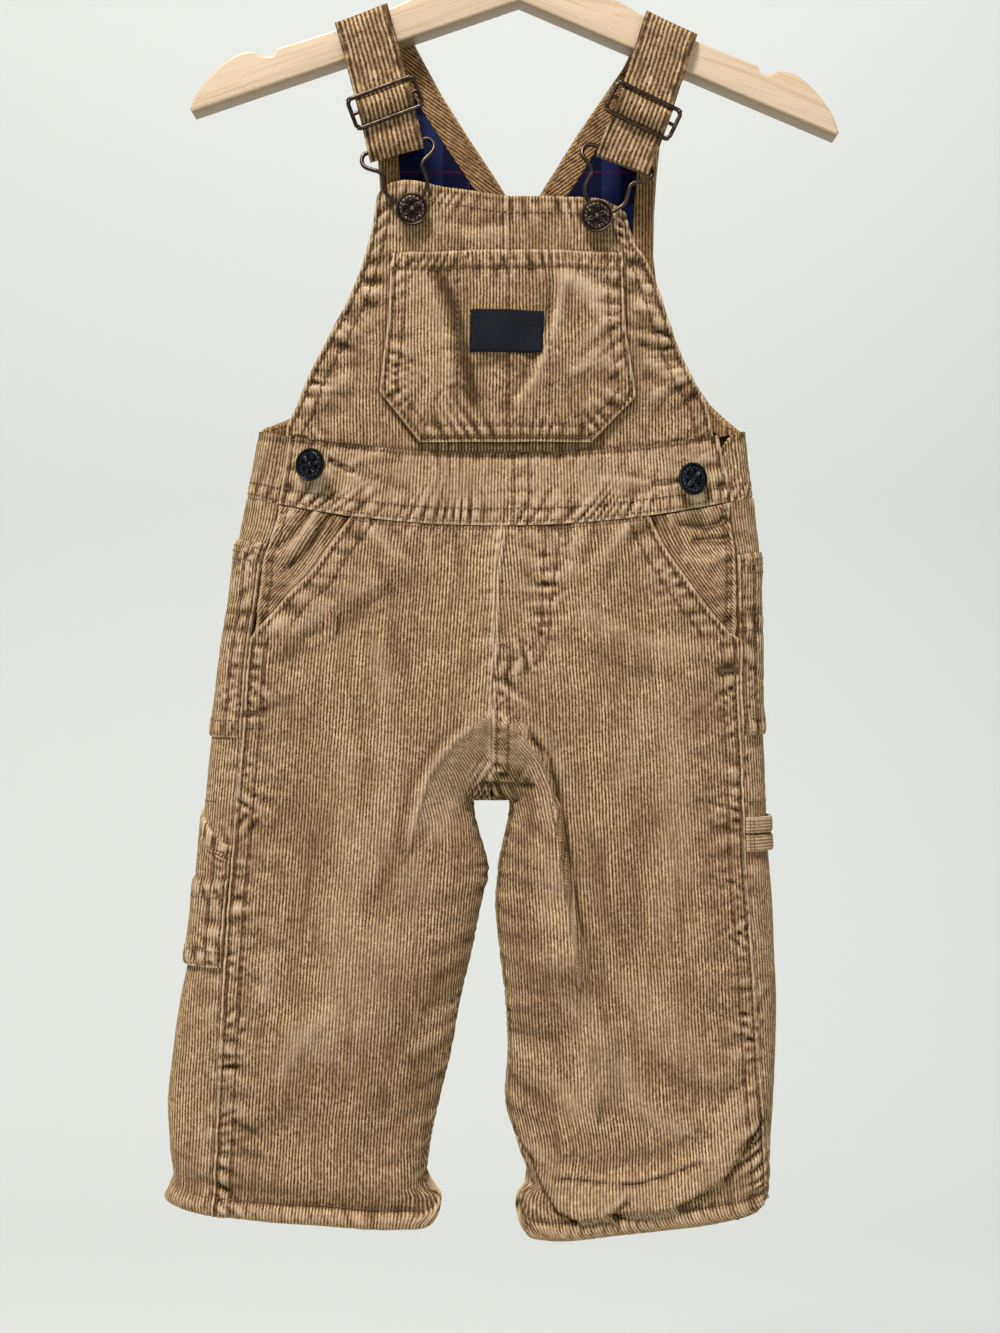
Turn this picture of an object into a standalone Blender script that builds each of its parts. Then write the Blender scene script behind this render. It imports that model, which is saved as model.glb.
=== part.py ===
"""Toddler's corduroy bib overalls, buttoned up and hanging on a wooden clothes hanger.

The garment's sizes are in millimetres in its own frame: x across (the wearer's left is +x), y in
depth (the front is -y), z up from the crotch. place() turns them into metres, with the origin
where a rod would touch the inside of the hanger's hook.
"""

import math
from collections import namedtuple

import bmesh
import bpy
from mathutils import Matrix, Vector

MM = 0.001

# The hanger: its lower front apex in the garment's frame, its tilt, and its hook.
HANGER_X = 8.8
HANGER_Z = 373.4
HANGER_TILT = math.radians(2.1)
HANGER_DEPTH = 12.0
HANGER_TOP = 18.0
HOOK_WIRE = 1.75
HOOK_RADIUS = 19.0
HOOK_CENTRE = 56.5
CONTACT = HOOK_CENTRE + HOOK_RADIUS - HOOK_WIRE
HOOK_X = HANGER_X + CONTACT * math.sin(HANGER_TILT)
HOOK_Z = HANGER_Z + CONTACT * math.cos(HANGER_TILT)

# Cloth
WALL = 2.0
SEAM = 0.3
LYING = 0.6
LINING_WALL = 1.1
FACING_DROP = 2.6
SQUARENESS = 0.05

# Hardware
WIRE = 1.0
STRAP_WIDTH = 26.0
STRAP_WALL = 2.2
BUTTON_RADIUS = 7.4
BUTTON_GAP = 0.7

# Levels of the body
HEM = -186.0
CROTCH_RISE = 45.0
WAIST = 130.0
WAIST_MID = 150.0
BAND_TOP = 165.0
BIB_TOP = 283.0
ARM_TOP = 358.0
NECK_X = 10.5
NECK_Z = 274.0

Row = namedtuple("Row", "z value")
Fold = namedtuple("Fold", "height left right points")
Side = namedtuple("Side", "name outer inner outseam hem folds")


def curve_through(table, z):
    """The value at z on a smooth curve through a table's rows, which rise in z."""
    if z <= table[0].z:
        return table[0].value
    if z >= table[-1].z:
        return table[-1].value
    k = 1
    while table[k].z < z:
        k += 1
    low, high = table[k - 1], table[k]
    step = high.z - low.z

    def slope(a, b):
        return (b.value - a.value) / (b.z - a.z)

    here = slope(low, high)
    before = slope(table[k - 2], low) if k > 1 else here
    after = slope(high, table[k + 1]) if k + 1 < len(table) else here
    start, end = (before + here) / 2, (here + after) / 2
    t = (z - low.z) / step
    return (
        low.value * (1 + 2 * t) * (1 - t) ** 2
        + high.value * t * t * (3 - 2 * t)
        + step * (start * t * (1 - t) ** 2 - end * t * t * (1 - t))
    )


def rows(*pairs):
    return [Row(*pair) for pair in pairs]


def smooth(low, high, value):
    t = min(1.0, max(0.0, (value - low) / (high - low)))
    return t * t * (3 - 2 * t)


def mix(a, b, share):
    return a + (b - a) * share


def place(x, y, z):
    return Vector(((x - HOOK_X) * MM, y * MM, (z - HOOK_Z) * MM))


# ---------------------------------------------------------------- folds

def fold_height(folds, x, z):
    """How far the folds stand out at x, z. left and right are a fold's half-widths beside its line."""
    total = 0.0
    for fold in folds:
        nearest = None
        for (x1, z1), (x2, z2) in zip(fold.points, fold.points[1:]):
            dx, dz = x2 - x1, z2 - z1
            share = ((x - x1) * dx + (z - z1) * dz) / (dx * dx + dz * dz)
            share = min(1.0, max(0.0, share))
            ex, ez = x - x1 - share * dx, z - z1 - share * dz
            away = math.hypot(ex, ez)
            if nearest is None or away < nearest[0]:
                nearest = (away, fold.left if dx * ez - dz * ex > 0 else fold.right)
        total += fold.height * math.exp(-((nearest[0] / nearest[1]) ** 2))
    return total


# ---------------------------------------------------------------- legs and hips

CENTRE_SEAM = rows((0, -4), (24, -3.7), (58, -3.2), (78, -2.3), (108, -1.4), (130, 1.8), (172, 2.3))
FRONT_DEPTH = rows((-205, 15), (-165, 15.5), (-140, 16), (-90, 17), (-40, 18), (0, 19), (30, 20),
                   (60, 20), (100, 18), (130, 16), (150, 15), (172, 14))
BACK_DEPTH = rows((-205, 15), (-165, 15.5), (-140, 16), (-90, 17), (-40, 19), (0, 21), (30, 23),
                  (60, 22), (100, 20), (130, 17), (150, 16), (172, 15))

RIGHT = Side(
    name="right",
    outer=rows((-190, -157), (-164, -154.5), (-141, -155.6), (-118, -153.2), (-94, -149.9),
               (-70, -145.0), (-47, -142.2), (-23, -140.2), (0, -138.0), (23, -135.8), (47, -132.6),
               (70, -129.8), (94, -126.0), (118, -123.0), (138, -119.4), (155, -116), (172, -113.3)),
    inner=rows((-185, -29), (-176, -31), (-164, -33.8), (-141, -29.1), (-118, -23.5), (-94, -19.3),
               (-70, -13.6), (-47, -9.9), (-23, -6.1), (0, -4)),
    outseam=rows((-190, -133.6), (-120, -129.7), (-73, -127.5), (-41, -125.2), (-13, -122.9),
                 (29, -119.3), (70, -116.1), (96, -112), (105, -111), (120, -105.9), (136, -103.4)),
    hem=rows((-1.0, 6), (-0.75, 1), (-0.5, -2), (-0.25, 0), (0.0, 2), (0.25, -4), (0.5, -8),
             (0.75, -12), (0.9, -10), (1.0, 6)),
    folds=[
        Fold(3.0, 9, 12, [(-6, 38), (-28, 16), (-40, -4), (-41, -32)]),
        Fold(-1.8, 12, 12, [(-47, 98), (-70, 84), (-96, 66)]),
        Fold(-1.5, 12, 12, [(-30, 124), (-37, 92), (-40, 70)]),
        Fold(2.2, 14, 14, [(-60, 20), (-64, -40), (-68, -100)]),
        Fold(-1.6, 11, 11, [(-23, -88), (-48, -118)]),
        Fold(-2.4, 12, 12, [(-38, -132), (-58, -158)]),
        Fold(-1.8, 12, 12, [(-70, -132), (-84, -150), (-110, -156)]),
        Fold(2.4, 12, 12, [(-92, -110), (-70, -125), (-45, -146)]),
        Fold(-3.0, 6, 3.5, [(-156, -176), (-116, -181), (-80, -186), (-42, -190), (-34, -174)]),
    ],
)

LEFT = Side(
    name="left",
    outer=rows((-188, 123), (-176, 126), (-164, 126.4), (-141, 127.8), (-118, 128.8), (-94, 129.3),
               (-70, 128.3), (-47, 127.4), (-23, 125.4), (0, 124.4), (23, 123.6), (47, 122.0), (70, 122.0),
               (94, 121.2), (118, 121.4), (129, 120.0), (141, 118.5), (155, 116.6), (172, 115)),
    inner=rows((-188, 9.3), (-176, 10.5), (-164, 9.4), (-141, 2.8), (-118, 3.8), (-94, 2.8),
               (-70, 0), (-47, -2.5), (-23, 1), (0, -4)),
    outseam=rows((-190, 124.2), (-171, 123.6), (-154, 122.5), (-116, 119.8), (-74, 117.3),
                 (-32, 113.9), (10, 112.7), (47, 110.8), (71, 110.5), (91, 110.1), (116, 108.8),
                 (127, 107.8), (136, 107.4)),
    hem=rows((-1.0, 8), (-0.75, 1), (-0.5, -2), (-0.25, 0), (0.0, 0), (0.25, -6), (0.5, -12),
             (0.75, -17), (0.9, -12), (1.0, 8)),
    folds=[
        Fold(4.5, 12, 8, [(4, 28), (21, 4), (25, -22), (34, -70), (46, -102), (48, -134)]),
        Fold(-1.6, 8, 8, [(12, -44), (28, -42)]),
        Fold(-2.0, 9, 9, [(11, -103), (32, -106)]),
        Fold(1.8, 14, 14, [(78, 60), (82, -20), (80, -90)]),
        Fold(-1.5, 12, 12, [(88, 84), (104, 58)]),
        Fold(5.0, 18, 4, [(20, -186), (40, -191), (56, -189), (74, -187), (92, -177), (108, -164),
                          (122, -144)]),
        Fold(-2.2, 6, 6, [(28, -168), (50, -171), (72, -168), (92, -160)]),
        Fold(-2.5, 3, 5, [(24, -194), (42, -198), (70, -194), (96, -186), (114, -172)]),
    ],
)

CROTCH_FOLDS = [
    Fold(-1.6, 5, 5, [(-4, 30), (-9, 10)]),
    Fold(1.6, 6, 6, [(-3, 60), (-2, 122)]),
]


def torso_share(z, angle=math.pi):
    """1 where the section is half of one body, 0 where it is a whole leg.

    It changes slowly with z at the outer edge, and round the crotch's curve at the inner one.
    """
    if z <= 0:
        near = 0.0
    elif z >= CROTCH_RISE:
        near = 1.0
    else:
        near = math.sqrt(1 - ((CROTCH_RISE - z) / CROTCH_RISE) ** 2)
    return mix(smooth(-75, 70, z), near, smooth(0.5 * math.pi, math.pi, abs(angle)))


def across(angle):
    return (math.cos(angle) - SQUARENESS * math.cos(3 * angle)) / (1 - SQUARENESS)


def through(angle):
    return (math.sin(angle) + SQUARENESS * math.sin(3 * angle)) / (1 - SQUARENESS)


def inner_edge(side, z):
    """The leg's inner edge, and above the crotch the centre seam, just off it on the side's own side."""
    apart = -SEAM / 4 if side is RIGHT else SEAM / 4
    return apart + (curve_through(side.inner, z) if z < 0 else curve_through(CENTRE_SEAM, z))


def skin(side, angle, z):
    """A point of the cloth's outer face. angle 0 is the outer edge, pi the inner one, + in front."""
    outer, inner = curve_through(side.outer, z), inner_edge(side, z)
    deep = curve_through(FRONT_DEPTH if angle > 0 else BACK_DEPTH, z)
    share = torso_share(z, angle)
    leg_x = (outer + inner) / 2 + (outer - inner) / 2 * across(angle)
    body_x = inner + (outer - inner) * across(angle / 2)
    x = mix(leg_x, body_x, share)
    front = mix(through(angle), through(angle / 2), share)
    y = -deep * front
    if angle > 0:
        y -= fold_height(side.folds, x, z) * front
        y -= fold_height(CROTCH_FOLDS, x, z) * front
    return Vector((x, y, z))


def normal_of(surface, a, b, step_a=0.02, step_b=1.0):
    """The outward unit normal of surface(a, b), by differences."""
    along = surface(a + step_a, b) - surface(a - step_a, b)
    up = surface(a, b + step_b) - surface(a, b - step_b)
    turn = along.cross(up)
    return turn.normalized()


def body_point(side, angle, z, lift=0.0):
    point = skin(side, angle, z)
    turn = normal_of(lambda a, b: skin(side, a, b), angle, z)
    outward = Vector((point.x - inner_or_middle(side, z), point.y, 0))
    if turn.dot(outward) < 0:
        turn = -turn
    return point + turn * lift


def inner_or_middle(side, z):
    """The x of the hollow's middle, from which a normal points outwards."""
    middle = (curve_through(side.outer, z) + inner_edge(side, z)) / 2
    return mix(middle, inner_edge(side, z), torso_share(z))


def angle_at(side, x, z):
    """The front angle at which the skin reaches x."""
    low, high = 0.0, math.pi
    sign = 1 if side is RIGHT else -1
    for _ in range(30):
        middle = (low + high) / 2
        if sign * (skin(side, middle, z).x - x) < 0:
            low = middle
        else:
            high = middle
    return (low + high) / 2


def outseam_angle(side, z):
    return angle_at(side, curve_through(side.outseam, z), z)


def seam_shift(side, angle, z, gap=SEAM / 2):
    """The change of angle that moves a point by gap along the cloth."""
    ahead = (skin(side, angle + 0.01, z) - skin(side, angle - 0.01, z)).length / 0.02
    return gap / ahead


def waist_low(x):
    return 127.5 + 10.5 * (x / 100) ** 2


def waist_top(x):
    return 161.3 + 8.5 * (x / 100) ** 2


def leg_level(side, angle, z):
    """A nominal level, bent to the hem's and the waist seam's curves."""
    hem_bend = curve_through(side.hem, angle / math.pi) * smooth(-110, HEM, z)
    x = skin(side, angle, WAIST_MID).x
    waist_bend = (waist_low(x) - SEAM / 2 - WAIST) * smooth(50, WAIST, z)
    return z + hem_bend + waist_bend


# ---------------------------------------------------------------- meshes

def new_collection(name):
    made = bpy.data.collections.new(name)
    bpy.context.scene.collection.children.link(made)
    return made


def cloth_colour(name, colour, roughness=0.9, metallic=0.0):
    material = bpy.data.materials.new(name)
    material.use_nodes = True
    shader = material.node_tree.nodes["Principled BSDF"]
    shader.inputs["Base Color"].default_value = (*colour, 1)
    shader.inputs["Roughness"].default_value = roughness
    shader.inputs["Metallic"].default_value = metallic
    return material


CORDUROY = (0.33, 0.21, 0.1)
FINISH = {
    "corduroy": (CORDUROY, 0.9, 0.0),
    "facing": ((0.25, 0.16, 0.07), 0.9, 0.0),
    "lining": ((0.02, 0.03, 0.1), 0.85, 0.0),
    "label": ((0.01, 0.015, 0.04), 0.8, 0.0),
    "bronze": ((0.12, 0.1, 0.09), 0.4, 1.0),
    "wood": ((0.7, 0.45, 0.22), 0.45, 0.0),
    "steel": ((0.6, 0.6, 0.6), 0.3, 1.0),
}


def finish_object(obj, finish):
    obj.data.materials.append(cloth_colour(obj.name, *FINISH[finish]))
    obj.data.shade_smooth()
    obj.data.set_sharp_from_angle(angle=math.radians(50))
    return obj


def panel(name, finish, patches):
    """A cloth wall. Each patch is a grid of (outer, inner) pairs, and patches meet at equal points."""
    mesh = bpy.data.meshes.new(name)
    bm = bmesh.new()
    found = {}

    def vertex_pair(outer, inner):
        key = tuple(round(value, 4) for value in outer)
        if key not in found:
            found[key] = (bm.verts.new(place(*outer)), bm.verts.new(place(*inner)))
        return found[key]

    edges = {}
    for grid in patches:
        pairs = [[vertex_pair(*pair) for pair in line] for line in grid]
        for i in range(len(pairs) - 1):
            for j in range(len(pairs[0]) - 1):
                corners = [pairs[i][j], pairs[i][j + 1], pairs[i + 1][j + 1], pairs[i + 1][j]]
                bm.faces.new([corner[0] for corner in corners])
                bm.faces.new([corner[1] for corner in reversed(corners)])
                for k, corner in enumerate(corners):
                    after = corners[(k + 1) % 4]
                    edges[(corner[0], after[0])] = (corner, after)
    for (start, end), (corner, after) in edges.items():
        if (end, start) not in edges:
            bm.faces.new([after[0], corner[0], corner[1], after[1]])
    bmesh.ops.recalc_face_normals(bm, faces=bm.faces)
    if bm.calc_volume(signed=True) < 0:
        bmesh.ops.reverse_faces(bm, faces=bm.faces)
    bm.to_mesh(mesh)
    bm.free()
    obj = bpy.data.objects.new(name, mesh)
    PARTS.objects.link(obj)
    return finish_object(obj, finish)


def wall_grid(point, columns, levels, lift=0.0, wall=WALL):
    """Pairs of outer and inner points of point(column, level, lift)."""
    return [
        [(point(column, level, lift), point(column, level, lift - wall)) for column in columns]
        for level in levels
    ]


def spread(count):
    return [k / count for k in range(count + 1)]


# ---------------------------------------------------------------- trousers

LEG_LEVELS = [HEM, -180, -174, -167, -159, -148, -135, -121, -106, -90, -73, -56, -39, -22, -9, 0, 2,
              6, 13, 22, 33, 46, 60, 74, 88, 102, 116, WAIST]
SLANT = {
    "right": rows((75, -115.2), (84, -106), (93, -97.8), (102.5, -88), (119, -76.5), (132.5, -67.2),
                  (136, -65)),
    "left": rows((72, 110.3), (80, 102.5), (88, 95), (102, 84.3), (115.4, 75.5), (129.4, 69.1),
                 (134, 67)),
}
SLANT_FOOT = 76.0
FRONT_COLUMNS = 14
BACK_COLUMNS = 13


def front_edge_angle(side, z):
    """Where the front panel's outer edge lies: on the outseam, and above it on the slant pocket."""
    seam = outseam_angle(side, z)
    if z <= SLANT_FOOT:
        return seam + seam_shift(side, seam, z)
    return max(seam + seam_shift(side, seam, z), angle_at(side, curve_through(SLANT[side.name], z), z))


def front_leg(side):
    def point(share, nominal, lift):
        start = front_edge_angle(side, nominal)
        angle = mix(start, math.pi, share)
        if nominal >= 0:
            angle -= share ** 8 * seam_shift(side, math.pi * 0.999, max(nominal, 12))
        else:
            angle -= share ** 8 * seam_shift(side, math.pi * 0.999, nominal)
        return body_point(side, angle, leg_level(side, angle, nominal), lift)

    grid = wall_grid(point, spread(FRONT_COLUMNS), LEG_LEVELS)
    return panel(f"front_leg_{side.name}", "corduroy", [grid])


def back_leg(side):
    def point(share, nominal, lift):
        seam = outseam_angle(side, nominal)
        start = seam - seam_shift(side, seam, nominal)
        bent = share ** 0.8
        angle = mix(start, -math.pi, bent)
        level = max(nominal, 12) if nominal >= 0 else nominal
        angle += share ** 8 * seam_shift(side, -math.pi * 0.999, level)
        return body_point(side, angle, leg_level(side, angle, nominal), lift)

    grid = wall_grid(point, spread(BACK_COLUMNS), LEG_LEVELS)
    return panel(f"back_leg_{side.name}", "corduroy", [grid])


def pocket_facing(side):
    """The panel behind a slant pocket's opening, from the outseam to just under the front."""
    hidden = 9.0
    toward_centre = 1 if side is RIGHT else -1

    def point(share, z, lift):
        seam = outseam_angle(side, z)
        slant_x = curve_through(SLANT[side.name], z) + toward_centre * hidden
        start = seam + seam_shift(side, seam, z, 0.6)
        angle = mix(start, angle_at(side, slant_x, z), share)
        return body_point(side, angle, leg_level(side, angle, z), lift)

    levels = [72, 79, 86, 93, 100, 107, 114, 122, WAIST - 0.5]
    grid = wall_grid(point, spread(6), levels, -FACING_DROP, LINING_WALL)
    return panel(f"pocket_facing_{side.name}", "corduroy", [grid])


def side_patch(name, side, levels, from_x, to_angle, bow=0.0, lift=LYING, wall=1.6):
    """A patch on the back panel, from beside the outseam round the side of the leg, bowed out."""

    def point(share, z, up):
        seam = angle_at(side, curve_through(side.outseam, z) + from_x, z)
        angle = mix(seam, to_angle, share)
        return body_point(side, angle, leg_level(side, angle, z), up + bow * math.sin(math.pi * share))

    grid = wall_grid(point, spread(11), levels, lift + wall, wall)
    return panel(name, "corduroy", [grid])


# ---------------------------------------------------------------- waistband

def band_point(side, angle, share, lift):
    x = skin(side, angle, WAIST_MID).x
    z = mix(waist_low(x) + SEAM / 2, waist_top(x) - SEAM / 2, share)
    return body_point(side, angle, z, lift)


def waistband_front():
    def column(share):
        side = RIGHT if share <= 0.5 else LEFT
        seam = outseam_angle(side, 136)
        reach = share * 2 if share <= 0.5 else (1 - share) * 2
        return side, mix(seam + seam_shift(side, seam, 136, SEAM), math.pi, reach)

    def point(share, level, lift):
        side, angle = column(share)
        return band_point(side, angle, level, lift)

    grid = wall_grid(point, spread(24), spread(3))
    return panel("waistband_front", "corduroy", [grid])


def waistband_back():
    tuck_x = {"right": -76.0, "left": 78.0}

    def column(share):
        side = RIGHT if share <= 0.5 else LEFT
        end = angle_at(side, tuck_x[side.name], WAIST_MID)
        reach = share * 2 if share <= 0.5 else (1 - share) * 2
        return side, mix(end, -math.pi, reach)

    def point(share, level, lift):
        side, angle = column(share)
        edge = outseam_angle(side, 136)
        sink = smooth(edge - 0.45, edge - 0.12, angle)
        return band_point(side, angle, level, lift - sink * FACING_DROP)

    grid = wall_grid(point, spread(36), spread(2))
    return panel("waistband_back", "corduroy", [grid])


# ---------------------------------------------------------------- bib

BIB_LEFT = rows((160, -99.5), (170.4, -98.6), (178.7, -94.9), (197.7, -88), (220.9, -76.9),
                (244.3, -66.8), (267.7, -59.9), (284, -57))
BIB_RIGHT = rows((160, 99.5), (166.2, 98.6), (184.7, 94.9), (196.3, 89.4), (220.9, 80.6),
                 (244.3, 73.7), (260.7, 67.8), (270.5, 61.8), (284, 58.5))
BIB_EDGE = rows((-60, 279), (-52.1, 287.1), (-23.2, 285.2), (2.3, 281.5), (27.9, 281), (52, 278.2),
                (60, 272))
BIB_FOLDS = [
    Fold(2.0, 9, 9, [(-76, 214), (-72, 190), (-68, 172)]),
    Fold(-1.6, 9, 9, [(76, 214), (74, 190), (70, 170)]),
]
POCKET_FOLDS = [
    Fold(-1.0, 7, 7, [(-26, 240), (-15, 196), (-9, 176)]),
    Fold(1.8, 8, 8, [(21, 207), (9, 186), (4, 174)]),
    Fold(1.6, 9, 9, [(38, 230), (46, 200)]),
    Fold(1.4, 9, 9, [(-40, 232), (-34, 190)]),
]


def ring_depth(x):
    """The front's depth at the top of the waistband, at x."""
    side = RIGHT if x < NECK_X / 4 else LEFT
    return -skin(side, angle_at(side, x, BAND_TOP), BAND_TOP).y


def bib_y(x, z):
    rise = smooth(BAND_TOP - 8, BIB_TOP + 8, z)
    top = 8.5 - 1.7 * (x / 55) ** 2
    sag = 1.5 * math.sin(math.pi * min(1, max(0, (z - BAND_TOP) / (BIB_TOP - BAND_TOP))))
    return -mix(ring_depth(x), top, rise) - sag - fold_height(BIB_FOLDS, x, z)


def bib_point(x, z, lift=0.0):
    turn = normal_of(lambda a, b: Vector((a, bib_y(a, b), b)), x, z, 1.0, 1.0)
    if turn.y > 0:
        turn = -turn
    return Vector((x, bib_y(x, z), z)) + turn * lift


def bib_front():
    def point(share, level, lift):
        nominal = mix(BAND_TOP, BIB_TOP, level)
        x = mix(curve_through(BIB_LEFT, nominal), curve_through(BIB_RIGHT, nominal), share)
        z = mix(waist_top(x) + SEAM * 1.7, curve_through(BIB_EDGE, x), level)
        return bib_point(x, z, lift)

    grid = wall_grid(point, spread(18), spread(14))
    return panel("bib_front", "corduroy", [grid])


POCKET_LEFT = rows((163, -34.5), (189, -55.3), (223.7, -51.4), (255.6, -49.7))
POCKET_RIGHT = rows((163, 39.4), (187, 62.3), (219, 57.7), (251.4, 56.5))
POCKET_PUFF = 0.5
POCKET_WALL = 1.7
POCKET_LEVELS = [166, 173, 181, 188, 198, 208, 218, 228, 238, 247, 253.5]


def straight(table, z):
    """The value at z on straight runs between a table's rows."""
    z = min(table[-1].z, max(table[0].z, z))
    for low, high in zip(table, table[1:]):
        if z <= high.z:
            return mix(low.value, high.value, (z - low.z) / (high.z - low.z))
    return table[-1].value


def bib_pocket():
    mouth = 1.6

    def point(share, z, lift):
        x = mix(straight(POCKET_LEFT, z), straight(POCKET_RIGHT, z), share)
        gape = mouth * smooth(225, 253, z) * math.sin(math.pi * share)
        puff = POCKET_PUFF + fold_height(POCKET_FOLDS, x, z) * math.sin(math.pi * share)
        return bib_point(x, z, lift + gape + puff)

    grid = wall_grid(point, spread(12), POCKET_LEVELS, LYING + POCKET_WALL, POCKET_WALL)
    return panel("bib_pocket", "corduroy", [grid])


def chest_label():
    centre, half_width, half_height = (3.2, 216.4), 16.6, 9.8
    lift = LYING + POCKET_PUFF + POCKET_WALL + 1.6

    def point(across_share, up_share, height):
        x = centre[0] + half_width * (2 * across_share - 1)
        z = centre[1] + half_height * (2 * up_share - 1)
        return bib_point(x, z, height)

    grid = wall_grid(point, spread(4), spread(3), lift + 0.8, 0.8)
    return panel("chest_label", "label", [grid])


# ---------------------------------------------------------------- back above the waist

BACK_RIGHT = rows((160, -114), (164, -112.5), (170, -104), (180, -92), (192, -84), (215, -72),
                  (240, -60), (265, -56), (289, -57), (312.8, -58.9), (336, -65), (355, -71.5),
                  (365, -75))
BACK_LEFT = rows((160, 115.5), (163, 114), (168, 109), (175, 104), (186, 98), (196, 92.5), (215, 84),
                 (240, 75), (255, 73.2), (265, 72.7), (289, 74.1), (312.8, 76), (336.5, 83.1),
                 (355.5, 90.3), (365, 94.5))
NECK_RIGHT = rows((274, 10.5), (287.6, 2.4), (310, -12.5), (332, -26.5), (355, -39), (365, -44))
NECK_LEFT = rows((274, 10.5), (286.2, 18.5), (310, 33.5), (332, 47), (352.7, 58), (365, 64))
LOW_DROP = 2.2
NECK_FACING = 13.0
ARM_FACING = 9.0
ARM_Y = 10.0
LEFT_ARM_DROP = 7.0
BACK_FOLDS = [
    Fold(1.8, 12, 12, [(-40, 180), (-34, 230)]),
    Fold(-1.6, 12, 12, [(12, 175), (12, 240)]),
    Fold(1.8, 12, 12, [(58, 180), (52, 232)]),
]
BACK_LEVELS = [162, 168, 174, 181, 190, 202, 216, 230, 245, 260, NECK_Z, 288, 304, 322, 340, ARM_TOP]


def back_depth(x):
    side = RIGHT if x < NECK_X / 4 else LEFT
    low, high = -math.pi, 0.0
    sign = 1 if side is RIGHT else -1
    for _ in range(30):
        middle = (low + high) / 2
        if sign * (skin(side, middle, BAND_TOP).x - x) > 0:
            low = middle
        else:
            high = middle
    return skin(side, low, BAND_TOP).y


def back_y(x, z):
    rise = smooth(BAND_TOP - 10, 300, z)
    sag = 2.0 * math.sin(math.pi * min(1, max(0, (z - BAND_TOP) / (ARM_TOP - BAND_TOP))))
    return mix(back_depth(x), ARM_Y, rise) + sag * (1 - rise) + fold_height(BACK_FOLDS, x, z)


def back_point(x, z, lift=0.0):
    turn = normal_of(lambda a, b: Vector((a, back_y(a, b), b)), x, z, 1.0, 1.0)
    if turn.y < 0:
        turn = -turn
    return Vector((x, back_y(x, z), z)) + turn * lift


def back_level(x, z):
    """A nominal level, with the lowest ones bent to the waistband's top."""
    low_bend = (waist_top(x) + SEAM * 2.5 - BACK_LEVELS[0]) * (1 - smooth(BACK_LEVELS[0], 215, z))
    arm_drop = LEFT_ARM_DROP * smooth(320, ARM_TOP, z) if x > NECK_X else 0.0
    return z + low_bend - arm_drop


def strip(left_edge, right_edge, columns, levels, lift, wall):
    """A patch of the back between two edges, each a function of the level."""

    def point(share, z, up):
        x = mix(left_edge(z), right_edge(z), share)
        if up < 0 and lift < 0:
            up -= LOW_DROP * (1 - smooth(172, 200, z))
        return back_point(x, back_level(x, z), up)

    return wall_grid(point, spread(columns), levels, lift, wall)


def neck_edge(table):
    return lambda z: NECK_X if z <= NECK_Z else curve_through(table, z)


def back_bib():
    right = strip(lambda z: curve_through(BACK_RIGHT, z), neck_edge(NECK_RIGHT), 10, BACK_LEVELS, 0, WALL)
    left = strip(neck_edge(NECK_LEFT), lambda z: curve_through(BACK_LEFT, z), 10, BACK_LEVELS, 0, WALL)
    return panel("back_bib", "corduroy", [right, left])


def back_lining():
    """The checked lining inside the back, with its facings beside it in the same layer."""
    lift = -WALL - 0.5
    inset = 0.8

    def right_side(z):
        return curve_through(BACK_RIGHT, z) + ARM_FACING + SEAM + inset

    def left_side(z):
        return curve_through(BACK_LEFT, z) - ARM_FACING - SEAM - inset

    def right_neck(z):
        reach = neck_edge(NECK_RIGHT)(z) - inset - NECK_FACING - SEAM
        return reach

    def left_neck(z):
        return neck_edge(NECK_LEFT)(z) + inset + NECK_FACING + SEAM

    low = [z for z in BACK_LEVELS if z <= NECK_Z]
    low[-1] = NECK_Z - SEAM
    high = [NECK_Z - SEAM] + [z for z in BACK_LEVELS if z > NECK_Z]
    patches = []
    for levels in (low, high):
        patches.append(strip(right_side, right_neck, 5, levels, lift, LINING_WALL))
        patches.append(strip(left_neck, left_side, 5, levels, lift, LINING_WALL))
    patches.append(strip(right_neck, left_neck, 2, low, lift, LINING_WALL))
    lining = panel("back_lining", "lining", patches)

    facing_levels = [z for z in BACK_LEVELS if z > NECK_Z + 1]
    facing_levels.insert(0, NECK_Z + SEAM)
    panel("neck_facing_right", "facing", [
        strip(lambda z: right_neck(z) + SEAM, lambda z: neck_edge(NECK_RIGHT)(z) - inset, 2,
              facing_levels, lift, LINING_WALL)])
    panel("neck_facing_left", "facing", [
        strip(lambda z: neck_edge(NECK_LEFT)(z) + inset, lambda z: left_neck(z) - SEAM, 2,
              facing_levels, lift, LINING_WALL)])
    panel("armhole_facing_right", "facing", [
        strip(lambda z: curve_through(BACK_RIGHT, z) + inset, lambda z: right_side(z) - SEAM, 2,
              BACK_LEVELS, lift, LINING_WALL)])
    panel("armhole_facing_left", "facing", [
        strip(lambda z: left_side(z) + SEAM, lambda z: curve_through(BACK_LEFT, z) - inset, 2,
              BACK_LEVELS, lift, LINING_WALL)])
    return lining


# ---------------------------------------------------------------- straps and hardware

Strap = namedtuple("Strap", "name turn top slider fold leans behind buckle_lean button")
STRAPS = [
    Strap("right", 1, (-64.2, 365.3), (-53.0, 322.8), (-48.2, 302.2), (21.0, 20.5, 15.5), 26.0,
          14.0, (-40.6, 273.7)),
    Strap("left", -1, (79.5, 361.0), (66.1, 319.1), (57.0, 296.5), (25.0, 26.0, 21.5), 26.0,
          20.5, (44.7, 270.5)),
]
SLIDER_REACH = 45.0
FOLD_REACH = 67.0
BAR_Y = -12.8
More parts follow.
